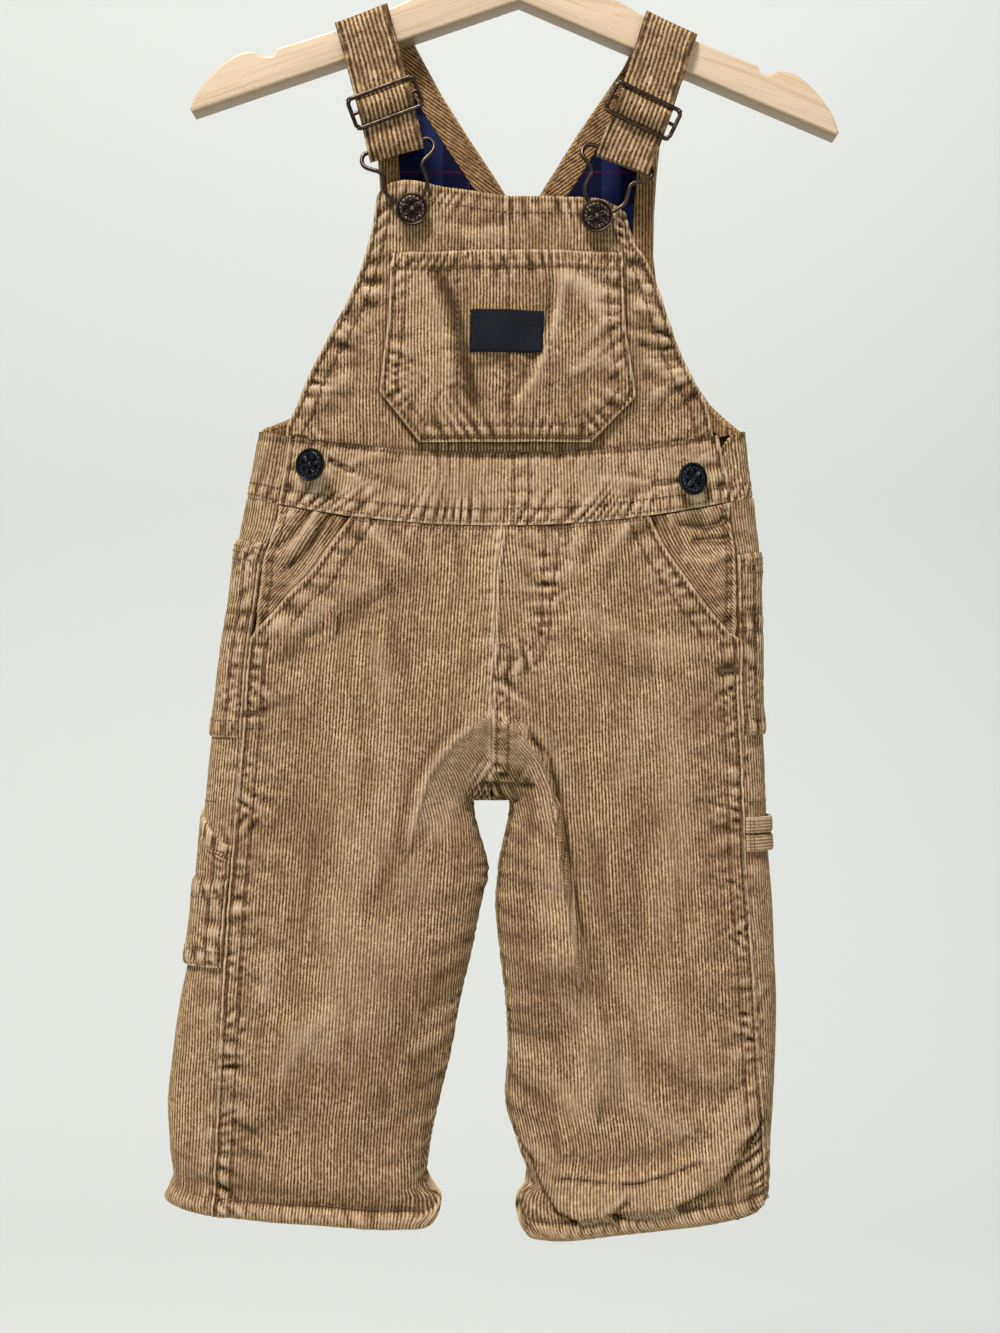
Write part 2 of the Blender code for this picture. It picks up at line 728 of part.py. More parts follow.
# reach: how far the strap has come down from the hanger's top; run: behind or in front of the hanger
StrapPoint = namedtuple("StrapPoint", "run reach y")
STRAP_PATH = [StrapPoint(*row) for row in (
    ("behind", 36, 12.0), ("behind", 22, 12.0), ("behind", 10, 12.0), ("behind", 4, 11.6),
    ("behind", 0.4, 9.2), ("front", -1.7, 5.0), ("front", -1.8, -2.0), ("front", -1.0, -6.4),
    ("front", 3.0, -8.2), ("front", 14, -8.4), ("front", 26, -8.9), ("front", 37.5, -9.5),
    ("front", 39.4, -11.0), ("front", 41.6, -14.0), ("front", 44.5, -15.5), ("front", 47.4, -14.4),
    ("front", 49.3, -11.4), ("front", 51, -9.9), ("front", 60, -10.2), ("front", 64.5, -10.4),
    ("front", 66.9, -9.5), ("front", 67.7, -7.9), ("front", 66.9, -6.3), ("front", 64.5, -5.4),
    ("front", 56, -5.3), ("front", 38, -5.4))]


def strap_centre(strap, run, reach):
    """The middle of the strap's width, and its lean in degrees, at a reach."""
    if run == "behind":
        lean = math.radians(strap.behind)
        share = min(1, max(0, reach / 30))
        x = strap.top[0] + strap.turn * reach * math.sin(lean)
        return x, strap.top[1] - reach * math.cos(lean), mix(strap.leans[0], strap.behind, share)
    if reach <= SLIDER_REACH:
        share = reach / SLIDER_REACH
        start, end, leans = strap.top, strap.slider, strap.leans[:2]
    else:
        share = (reach - SLIDER_REACH) / (FOLD_REACH - SLIDER_REACH)
        start, end, leans = strap.slider, strap.fold, strap.leans[1:]
    lean = mix(leans[0], leans[1], min(1, max(0, share)))
    return mix(start[0], end[0], share), mix(start[1], end[1], share), lean


def make_strap(strap):
    centres, sides = [], []
    for point in STRAP_PATH:
        x, z, lean = strap_centre(strap, point.run, point.reach)
        angle = math.radians(lean) * strap.turn
        centres.append(Vector((x, point.y, z)))
        sides.append(Vector((math.cos(angle), 0, math.sin(angle))))
    grid = []
    for k, (centre, side) in enumerate(zip(centres, sides)):
        before, after = centres[max(0, k - 1)], centres[min(len(centres) - 1, k + 1)]
        out = side.cross((after - before).normalized()).normalized()
        line = []
        for share in (-0.5, 0, 0.5):
            middle = centre + side * STRAP_WIDTH * share
            half = STRAP_WALL / 2 * (1 if share == 0 else 0.8)
            line.append((middle + out * half, middle - out * half))
        grid.append(line)
    return panel(f"strap_{strap.name}", "corduroy", [grid])


def wire_object(name, points, radius, closed, finish="bronze", resolution=1):
    curve = bpy.data.curves.new(name, "CURVE")
    curve.dimensions = "3D"
    curve.bevel_depth = radius * MM
    curve.bevel_resolution = resolution
    curve.use_fill_caps = True
    spline = curve.splines.new("POLY")
    spline.points.add(len(points) - 1)
    for knot, point in zip(spline.points, points):
        knot.co = (*place(*point), 1)
    spline.use_cyclic_u = closed
    obj = bpy.data.objects.new(name, curve)
    PARTS.objects.link(obj)
    curve.materials.append(cloth_colour(name, *FINISH[finish]))
    return obj


def to_mesh_object(obj):
    """The curve object made a mesh one, with its caps welded."""
    mesh = bpy.data.meshes.new_from_object(obj.evaluated_get(bpy.context.evaluated_depsgraph_get()))
    bm = bmesh.new()
    bm.from_mesh(mesh)
    bmesh.ops.remove_doubles(bm, verts=bm.verts, dist=1e-6)
    bm.to_mesh(mesh)
    bm.free()
    name = obj.name
    made = bpy.data.objects.new(name, mesh)
    made.matrix_world = obj.matrix_world
    bpy.data.objects.remove(obj)
    made.name = name
    PARTS.objects.link(made)
    return made


def rounded_loop(half_width, half_height, radius, steps=3):
    """A rectangle's outline with round corners, as (across, up) points."""
    points = []
    for turn, (sx, sy) in enumerate(((1, 1), (-1, 1), (-1, -1), (1, -1))):
        for k in range(steps + 1):
            angle = math.radians(90 * (turn + k / steps))
            points.append((sx * (half_width - radius) + radius * math.cos(angle),
                           sy * (half_height - radius) + radius * math.sin(angle)))
    return points


def make_slider(strap):
    half_width, half_height, corner = 16.2, 7.2, 2.6
    x, z, lean = strap_centre(strap, "front", SLIDER_REACH - 0.5)
    angle = math.radians(lean) * strap.turn
    side = Vector((math.cos(angle), 0, math.sin(angle)))
    up = Vector((-math.sin(angle), 0, math.cos(angle)))
    middle = Vector((x, BAR_Y, z))
    outline = [middle + side * a + up * b for a, b in rounded_loop(half_width, half_height, corner)]
    bpy.context.view_layer.update()
    frame = to_mesh_object(wire_object(f"slider_{strap.name}", outline, WIRE, True))
    ends = [middle - side * half_width, middle + side * half_width]
    bar = to_mesh_object(wire_object(f"slider_bar_{strap.name}", ends, WIRE * 0.85, False))
    CUTTERS.objects.link(bar)
    PARTS.objects.unlink(bar)
    bar.hide_render = True
    bar.display_type = "WIRE"
    join = frame.modifiers.new("centre bar", "BOOLEAN")
    join.operation = "UNION"
    join.object = bar
    return frame


# reach: along the buckle from its top bar; half: from its middle line to the wire; y: its depth
BuckleRow = namedtuple("BuckleRow", "reach half y")
BUCKLE = [BuckleRow(*row) for row in (
    (0, 7, -7.9), (0, 14, -7.9), (0.9, 16.0, -8.2), (3.6, 17.2, -8.9), (6.6, 16.4, -9.9),
    (8.8, 13.6, -10.6), (10.6, 10.8, -11.0), (13, 9.4, -11.2), (17, 9.8, -11.2), (21, 9.9, -11.2),
    (24.5, 8.0, -11.2), (27.5, 5.4, -11.2), (30.5, 4.3, -11.2), (33.5, 3.9, -11.2),
    (35.4, 2.4, -11.2), (36.2, 0, -11.2))]
BUCKLE_LENGTH = 32.0


def make_buckle(strap):
    angle = math.radians(strap.buckle_lean) * strap.turn
    side = Vector((math.cos(angle), 0, math.sin(angle)))
    down = Vector((math.sin(angle), 0, -math.cos(angle)))
    top = Vector((strap.button[0], 0, strap.button[1])) - down * BUCKLE_LENGTH
    right = [top + down * row.reach + side * row.half + Vector((0, row.y, 0)) for row in BUCKLE]
    left = [top + down * row.reach - side * row.half + Vector((0, row.y, 0)) for row in BUCKLE[:-1]]
    return wire_object(f"buckle_{strap.name}", right + left[::-1], WIRE, True)


# radius and height of a tack button, from the middle of its face down to its foot
ButtonRow = namedtuple("ButtonRow", "radius height")
BUTTON = [ButtonRow(*row) for row in (
    (0, 2.9), (4.2, 2.7), (5.6, 2.4), (6.1, 2.9), (6.9, 2.6), (BUTTON_RADIUS, 1.6), (7.0, 0.5),
    (5.6, 0.0), (2.6, 0.0), (2.4, -3.4), (0, -3.4))]


def make_button(name, x, y, z, turn_out=0.0):
    """A turned button whose shank ends at y, facing the front, turned out about the upright axis."""
    mesh = bpy.data.meshes.new(name)
    bm = bmesh.new()
    ring = [bm.verts.new((row.radius * MM, 0, row.height * MM)) for row in BUTTON]
    for start, end in zip(ring, ring[1:]):
        bm.edges.new((start, end))
    bm.to_mesh(mesh)
    bm.free()
    obj = bpy.data.objects.new(name, mesh)
    PARTS.objects.link(obj)
    screw = obj.modifiers.new("turn", "SCREW")
    screw.axis = "Z"
    screw.steps = screw.render_steps = 14
    screw.use_merge_vertices = True
    screw.merge_threshold = 1e-6
    screw.use_smooth_shade = True
    foot = -BUTTON[-1].height
    face = Vector((math.sin(turn_out), -math.cos(turn_out), 0))
    obj.location = place(x, y, z) + face * foot * MM
    obj.rotation_euler = (math.radians(90), 0, turn_out)
    obj.data.materials.append(cloth_colour(name, *FINISH["bronze"]))
    return obj


# ---------------------------------------------------------------- hanger

HangerPoint = namedtuple("HangerPoint", "x z")
HANGER_HALF = [HangerPoint(*row) for row in (
    (0, 18), (20, 12.8), (45.7, 1.8), (57, -4.0), (81, -14.8), (104, -23.3), (112.6, -26.2),
    (114.2, -30.0), (118.4, -30.2), (122, -28.0), (128.5, -28.8), (135, -32.6), (142, -39.4),
    (148, -47.5), (151.5, -56), (150.4, -57.6), (75, -28.8), (0, 0))]


def hanger_frame():
    """Turns the hanger's own frame into the world's, tilt and all."""
    apex = place(HANGER_X, 0, HANGER_Z)
    return Matrix.Translation(apex) @ Matrix.Rotation(HANGER_TILT, 4, "Y")


def hanger_wood():
    outline = list(HANGER_HALF) + [HangerPoint(-p.x, p.z) for p in HANGER_HALF[-2:0:-1]]
    round_over = 1.4
    curve = bpy.data.curves.new("hanger_wood", "CURVE")
    curve.dimensions = "2D"
    curve.fill_mode = "BOTH"
    curve.extrude = HANGER_DEPTH / 2 * MM
    spline = curve.splines.new("POLY")
    spline.points.add(len(outline) - 1)
    for knot, point in zip(spline.points, outline):
        knot.co = (point.x * MM, point.z * MM, 0, 1)
    spline.use_cyclic_u = True
    obj = bpy.data.objects.new("hanger_wood", curve)
    PARTS.objects.link(obj)
    obj.matrix_world = hanger_frame() @ Matrix.Rotation(math.pi / 2, 4, "X")
    weld = obj.modifiers.new("weld", "WELD")
    weld.merge_threshold = 1e-6
    bevel = obj.modifiers.new("rounded edges", "BEVEL")
    bevel.limit_method = "ANGLE"
    bevel.angle_limit = math.radians(60)
    bevel.width = round_over * MM
    bevel.segments = 2
    curve.materials.append(cloth_colour("hanger_wood", *FINISH["wood"]))
    return obj


def hanger_hook():
    foot = HANGER_TOP + SEAM
    points = [(0, foot), (0, foot + 6), (0.6, foot + 10), (3, foot + 14)]
    for degrees in range(-50, 216, 14):
        angle = math.radians(degrees)
        points.append((HOOK_RADIUS * math.cos(angle), HOOK_CENTRE + HOOK_RADIUS * math.sin(angle)))
    curve = bpy.data.curves.new("hanger_hook", "CURVE")
    curve.dimensions = "3D"
    curve.bevel_depth = HOOK_WIRE * MM
    curve.bevel_resolution = 2
    curve.use_fill_caps = True
    spline = curve.splines.new("POLY")
    spline.points.add(len(points) - 1)
    for knot, (x, z) in zip(spline.points, points):
        knot.co = (x * MM, 0, z * MM, 1)
    obj = bpy.data.objects.new("hanger_hook", curve)
    PARTS.objects.link(obj)
    obj.matrix_world = hanger_frame()
    curve.materials.append(cloth_colour("hanger_hook", *FINISH["steel"]))
    return obj


# ---------------------------------------------------------------- assembly

for old in list(bpy.data.objects):
    bpy.data.objects.remove(old)
PARTS = new_collection("bib_overalls")
CUTTERS = new_collection("cutters")

for leg in (RIGHT, LEFT):
    front_leg(leg)
    back_leg(leg)
    pocket_facing(leg)
waistband_front()
waistband_back()
bib_front()
bib_pocket()
chest_label()
back_bib()
back_lining()

side_patch("back_pocket_right", RIGHT, [30, 42, 54, 66, 78, 90, 101, 112], -1.2, -2.3)
side_patch("back_pocket_left", LEFT, [31, 43, 55, 67, 78, 88, 98, 107], 1.2, -2.3)
side_patch("tool_pocket_right", RIGHT, [-76, -66, -56, -46, -36, -26, -16, -6], -1.2, -1.35)
side_patch("hammer_loop_left", LEFT, [-23, -15, -7], 1.2, -1.35, bow=1.8)

for strap in STRAPS:
    make_strap(strap)
    make_slider(strap)
    make_buckle(strap)
    button_x, button_z = strap.button
    make_button(f"bib_button_{strap.name}", button_x, bib_y(button_x, button_z) - BUTTON_GAP, button_z)

SIDE_BUTTONS = {"right": (-85.1, 155.4), "left": (86.5, 148.9)}
SIDE_BUTTON_GAP = 1.1
SIDE_TURN = math.radians(24)
for leg in (RIGHT, LEFT):
    button_x, button_z = SIDE_BUTTONS[leg.name]
    seat = skin(leg, angle_at(leg, button_x, button_z), button_z).y
    turn_out = -SIDE_TURN if leg is RIGHT else SIDE_TURN
    make_button(f"side_button_{leg.name}", button_x, seat - SIDE_BUTTON_GAP, button_z, turn_out)

hanger_wood()
hanger_hook()
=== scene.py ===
import math

import bmesh
import bpy
import numpy as np
from mathutils import Matrix, Vector


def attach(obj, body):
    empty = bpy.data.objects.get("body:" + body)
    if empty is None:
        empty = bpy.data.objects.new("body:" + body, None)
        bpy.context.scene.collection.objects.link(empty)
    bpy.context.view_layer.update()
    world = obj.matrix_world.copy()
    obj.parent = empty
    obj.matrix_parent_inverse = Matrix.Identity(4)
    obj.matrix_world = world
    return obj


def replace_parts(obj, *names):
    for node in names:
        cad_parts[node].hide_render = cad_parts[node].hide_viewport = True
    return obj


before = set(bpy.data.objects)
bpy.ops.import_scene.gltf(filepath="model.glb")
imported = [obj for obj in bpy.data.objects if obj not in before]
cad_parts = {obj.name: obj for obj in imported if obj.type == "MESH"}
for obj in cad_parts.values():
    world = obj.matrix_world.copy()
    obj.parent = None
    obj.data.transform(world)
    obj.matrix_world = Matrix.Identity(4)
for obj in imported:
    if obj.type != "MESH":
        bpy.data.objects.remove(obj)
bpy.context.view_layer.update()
print("frame loaded")

# Garment sizes are in mm: x across (wearer's left is +x), y in depth (front is -y), z up from the crotch.
mm = 0.001
hanger = {"x": 8.8, "z": 373.4, "tilt": math.radians(2.1), "depth": 12.0, "top": 18.0,
          "wire": 1.75, "hookRadius": 19.0, "hookCentre": 56.5}
contact = hanger["hookCentre"] + hanger["hookRadius"] - hanger["wire"]
hookX = hanger["x"] + contact * math.sin(hanger["tilt"])
hookZ = hanger["z"] + contact * math.cos(hanger["tilt"])


def place(points):
    # garment mm to metres from the rod's contact point
    return (np.asarray(points, float) - np.array([hookX, 0, hookZ])) * mm


# the camera looks straight at the garment; the frame is as high as this in the garment's plane
view = {"distance": 750.0, "height": 62.7, "frameHeight": 626.5, "sensor": 24.0}
cameraData = bpy.data.cameras.new("camera")
cameraData.sensor_fit = "VERTICAL"
cameraData.sensor_height = view["sensor"]
cameraData.lens = view["sensor"] * view["distance"] / view["frameHeight"]
cameraData.clip_start = 0.02
camera = bpy.data.objects.new("camera", cameraData)
camera.location = place((0, -view["distance"], view["height"]))
camera.rotation_euler = (math.radians(90), 0, 0)
bpy.context.collection.objects.link(camera)
bpy.context.scene.camera = camera


def table(*pairs):
    return np.array(pairs, float)


def curveThrough(rows, z):
    # smooth curve through (z, value) rows
    zs, values = rows[:, 0], rows[:, 1]
    z = np.clip(z, zs[0], zs[-1])
    k = np.clip(np.searchsorted(zs, z, side="left"), 1, len(zs) - 1)
    slopes = np.diff(values) / np.diff(zs)
    tangent = np.concatenate([slopes[:1], (slopes[1:] + slopes[:-1]) / 2, slopes[-1:]])
    step = zs[k] - zs[k - 1]
    t = (z - zs[k - 1]) / step
    return (values[k - 1] * (1 + 2 * t) * (1 - t) ** 2 + values[k] * t * t * (3 - 2 * t)
            + step * (tangent[k - 1] * t * (1 - t) ** 2 - tangent[k] * t * t * (1 - t)))


def smooth(low, high, value):
    t = np.clip((value - low) / (high - low), 0, 1)
    return t * t * (3 - 2 * t)


def mix(a, b, share):
    return a + (b - a) * share


def lineDistance(x, z, points):
    # distance to a polyline, distance run along it, and which side (+1 left, -1 right)
    best = np.full(np.shape(x), 1e9)
    run = np.zeros(np.shape(x))
    hand = np.ones(np.shape(x))
    done = 0.0
    for (x1, z1), (x2, z2) in zip(points, points[1:]):
        dx, dz = x2 - x1, z2 - z1
        length = math.hypot(dx, dz)
        share = np.clip(((x - x1) * dx + (z - z1) * dz) / length ** 2, 0, 1)
        ex, ez = x - x1 - share * dx, z - z1 - share * dz
        away = np.hypot(ex, ez)
        nearer = away < best
        best = np.where(nearer, away, best)
        run = np.where(nearer, done + share * length, run)
        hand = np.where(nearer, np.where(dx * ez - dz * ex > 0, 1, -1), hand)
        done += length
    return best, run, hand


def runAlong(points):
    # distance run along a line of points
    return np.concatenate([[0], np.cumsum(np.linalg.norm(np.diff(points, axis=0), axis=1))])


def foldHeight(folds, x, z):
    # each fold: height, half-width on its left, half-width on its right, points
    total = np.zeros(np.shape(x))
    for height, left, right, points in folds:
        reach = 2.6 * max(left, right)
        xs, zs = [p[0] for p in points], [p[1] for p in points]
        near = ((x > min(xs) - reach) & (x < max(xs) + reach)
                & (z > min(zs) - reach) & (z < max(zs) + reach))
        if near.any():
            away, _, hand = lineDistance(x[near], z[near], points)
            total[near] += height * np.exp(-((away / np.where(hand > 0, left, right)) ** 2))
    return total


def unevenness(x, z, size, seed):
    # soft bumps of about this size, from crossed waves
    total = 0
    for k in range(5):
        turn = seed * 1.7 + k * 2.4
        scale = 2 * math.pi / (size * (0.75 + 0.17 * k))
        total = total + np.sin((x * math.cos(turn) + z * math.sin(turn)) * scale + seed * 3.1 + k * 1.3)
    return total / 3.2


def ripple(run, length, seed):
    # puckers along a seam: rounded bulges of uneven length and strength with narrow creases between
    bent = (run + 0.5 * length * np.sin(run / (length * 2.1) + seed)
            + 0.3 * length * np.sin(run / (length * 0.87) + seed * 2))
    bulge = 2 * np.abs(np.sin(math.pi * bent / length)) ** 0.8 - 1.3
    return bulge * (0.78 + 0.34 * np.sin(run / (length * 1.7) + seed * 1.9)
                    + 0.26 * np.sin(run / (length * 0.71) + seed * 2.7))


# corduroy: mm from wale to wale, mesh columns a wale, ridge height, thickness, sharpest smooth edge
cloth = {"pitch": 1.5, "samples": 4, "relief": 0.34, "wall": 1.9, "sharp": 75}
# levels of the seams, and tables of (level, place) or, for folds, (height, half-widths, line)
hem, crotchRise, waist, waistMid, bandTop, bibTop = -186.0, 45.0, 130.0, 150.0, 165.0, 283.0
centreSeam = table((0, -4), (24, -3.7), (58, -3.2), (78, -2.3), (108, -1.4), (130, 1.8), (172, 2.3))
frontDepth = table((-205, 15), (-165, 15.5), (-140, 16), (-90, 17), (-40, 18), (0, 19), (30, 20), (60, 20),
                   (100, 18), (130, 16), (150, 15), (172, 14))
backDepth = table((-205, 15), (-165, 15.5), (-140, 16), (-90, 17), (-40, 19), (0, 21), (30, 23), (60, 22),
                  (100, 20), (130, 17), (150, 16), (172, 15))
right = {
    "name": "right", "sign": 1,
    "outer": table((-190, -155), (-164, -154.5), (-141, -155.6), (-118, -153.2), (-94, -149.9), (-70, -145.0),
                   (-47, -142.2), (-23, -140.2), (0, -138.0), (23, -135.8), (47, -132.6), (70, -129.8),
                   (94, -126.0), (118, -123.0), (138, -119.4), (155, -116), (172, -113.3)),
    "inner": table((-186, -34), (-164, -33.8), (-141, -29.1), (-118, -23.5), (-94, -19.3), (-70, -13.6),
                   (-47, -9.0), (-35, -6.0), (-23, -5.4), (-10, -4.6), (0, -4)),
    "outseam": table((-190, -133.6), (-120, -129.7), (-73, -127.5), (-41, -125.2), (-13, -122.9),
                     (29, -119.3), (70, -116.1), (96, -112), (105, -111), (120, -105.9), (136, -103.4)),
    "slant": table((75, -115.2), (84, -106), (93, -97.8), (102.5, -88), (119, -76.5), (132.5, -67.2),
                   (136, -65)),
    # how far the hem's corners stand out or in from the leg's side lines
    "innerCorner": table((-190, 7.4), (-186, 6.8), (-183.2, 5.0), (-181, -0.8), (-176, -0.8), (-164, 0)),
    "outerCorner": table((-190, -4.2), (-185.5, -3.8), (-182, 0.2), (-178, 1.6), (-164, 0)),
    "hem": table((-1.0, 6), (-0.75, 1), (-0.5, -2), (-0.25, 0), (0.0, 2), (0.25, -4), (0.5, -8), (0.75, -12),
                 (0.9, -10), (1.0, 6)),
    "grain": (-120.7, 0.0677),
    "folds": [(2.6, 9, 6.5, [(-10, 38), (-19.7, 30.2), (-26.3, 22.5), (-32.9, 13.1), (-36.2, 1.4),
                             (-39.5, -9.4), (-41.4, -20), (-40, -40)]),
              (-2.6, 8, 9, [(-47, 98), (-70, 84), (-96, 66)]),
              (-2.2, 8, 9, [(-30, 124), (-37, 92), (-40, 70)]),
              (2.2, 14, 14, [(-60, 20), (-64, -40), (-68, -100)]), (-1.6, 11, 11, [(-23, -88), (-48, -118)]),
              (-2.4, 12, 12, [(-38, -132), (-58, -158)]),
              (-1.8, 12, 12, [(-70, -132), (-84, -150), (-110, -156)]),
              (2.4, 12, 12, [(-92, -110), (-70, -125), (-45, -146)]),
              (-3.0, 6, 3.5, [(-156, -176), (-116, -181), (-80, -186), (-42, -190), (-34, -174)]),
              (-0.9, 6, 9, [(-15, 25), (-24, 10), (-28, -6), (-30, -26)]),
              (-1.5, 9, 12, [(-60, -52), (-84, -32), (-100, -8)]),
              (1.5, 12, 12, [(-52, -68), (-76, -50), (-96, -28)]),
              (-1.5, 8, 11, [(-50, -150), (-68, -132), (-92, -120)]),
              (-1.6, 9, 10, [(-88, 34), (-92, -30), (-97, -92)])],
    "creases": [(0.6, 4, 6, [(-8, 28), (-20, 18), (-28, 4)]), (0.9, 4, 6, [(-8, 14), (-20, 2), (-28, -14)]),
                (-0.8, 3, 4, [(-48, 76), (-42, 60), (-40, 48)]), (0.7, 4, 4, [(-56, 72), (-52, 52)]),
                (-0.6, 3, 4, [(-26, -84), (-40, -96), (-46, -112)]), (0.8, 4, 5, [(-20, -96), (-36, -112)]),
                (-0.8, 3, 4, [(-30, -120), (-46, -134), (-60, -138)]),
                (-0.8, 4, 6, [(-92, -136), (-104, -148), (-116, -154)]),
                (0.7, 5, 5, [(-104, -60), (-108, -90)]), (-0.6, 5, 5, [(-84, -20), (-88, -52)]),
                (1.2, 1.0, 1.4, [(-14, 34), (-19.7, 30.2), (-26.3, 22.5), (-32.9, 13.1), (-36.2, 1.4),
                                 (-39.5, -9.4), (-41.4, -20)]),
                (-1.4, 2.0, 2.4, [(-18, 36), (-31, 24), (-40, 8), (-44.5, -8), (-46, -22)]),
                (-1.0, 3, 5, [(-52, 92), (-72, 82), (-94, 68)]),
                (0.8, 4, 5, [(-56, 100), (-76, 90), (-92, 80)]),
                (-0.9, 2.5, 3.5, [(-36, -16), (-52, -34), (-60, -52)]),
                (-0.8, 3, 4, [(-64, 44), (-60, 20), (-62, -4)]),
                (-0.9, 3, 4, [(-70, -112), (-58, -124), (-52, -140)]),
                (0.8, 3, 4, [(-76, -96), (-90, -108), (-100, -126)])],
    # short creases running in from each seam: level, reach, rise, height
    "outCreases": [(62, 18, 6, -0.9), (53, 13, 2, -0.8), (43, 21, 4, -1.0), (35, 12, 1, -0.7),
                   (27, 17, 3, -0.9), (17, 12, 2, -0.7), (9, 20, 1, -0.9), (-2, 14, 3, -0.8),
                   (-11, 18, 0, -0.7), (-21, 12, 2, -0.9), (-34, 22, 4, -0.8), (-45, 14, 1, -0.9),
                   (-58, 16, 2, -0.7), (-69, 24, 3, -0.9), (-82, 13, 0, -0.8), (-95, 18, -2, -0.9),
                   (-107, 22, 2, -0.8), (-121, 15, -3, -0.9), (-134, 20, -2, -0.8), (-148, 14, -4, -0.9),
                   (-161, 18, -3, -0.9)],
    "inCreases": [(-18, 12, -6, -1.0), (-29, 14, -5, -1.1), (-41, 16, -6, -1.2), (-53, 13, -4, -1.0),
                  (-64, 17, -6, -1.1), (-77, 12, -5, -0.9), (-89, 16, -7, -1.1), (-101, 13, -6, -1.0),
                  (-113, 18, -9, -1.2), (-126, 14, -8, -1.0), (-139, 17, -8, -1.2), (-152, 12, -6, -1.0),
                  (-163, 15, -4, -1.0)],
    "backFolds": [(2.2, 12, 12, [(-20, 40), (-44, 20), (-60, -10)]),
                  (-2.0, 9, 12, [(-8, 24), (-34, 4), (-60, -4)]),
                  (-1.8, 10, 12, [(-24, -92), (-60, -100), (-100, -92)]),
                  (2.0, 14, 12, [(-70, 70), (-78, 10)]), (-1.6, 8, 8, [(-28, -80), (-70, -84)]),
                  (1.8, 12, 12, [(-84, -40), (-92, -130)]), (-1.2, 4, 6, [(-14, 12), (-40, -10)]),
                  (-1.0, 3, 5, [(-30, -70), (-60, -74)]), (-1.1, 4, 5, [(-60, -112), (-96, -116)]),
                  (-1.5, 8, 9, [(-40, -140), (-64, -166)]), (-0.9, 3, 4, [(-84, 90), (-60, 84)]),
                  (1.0, 4, 5, [(-50, -30), (-58, -60)])],
}
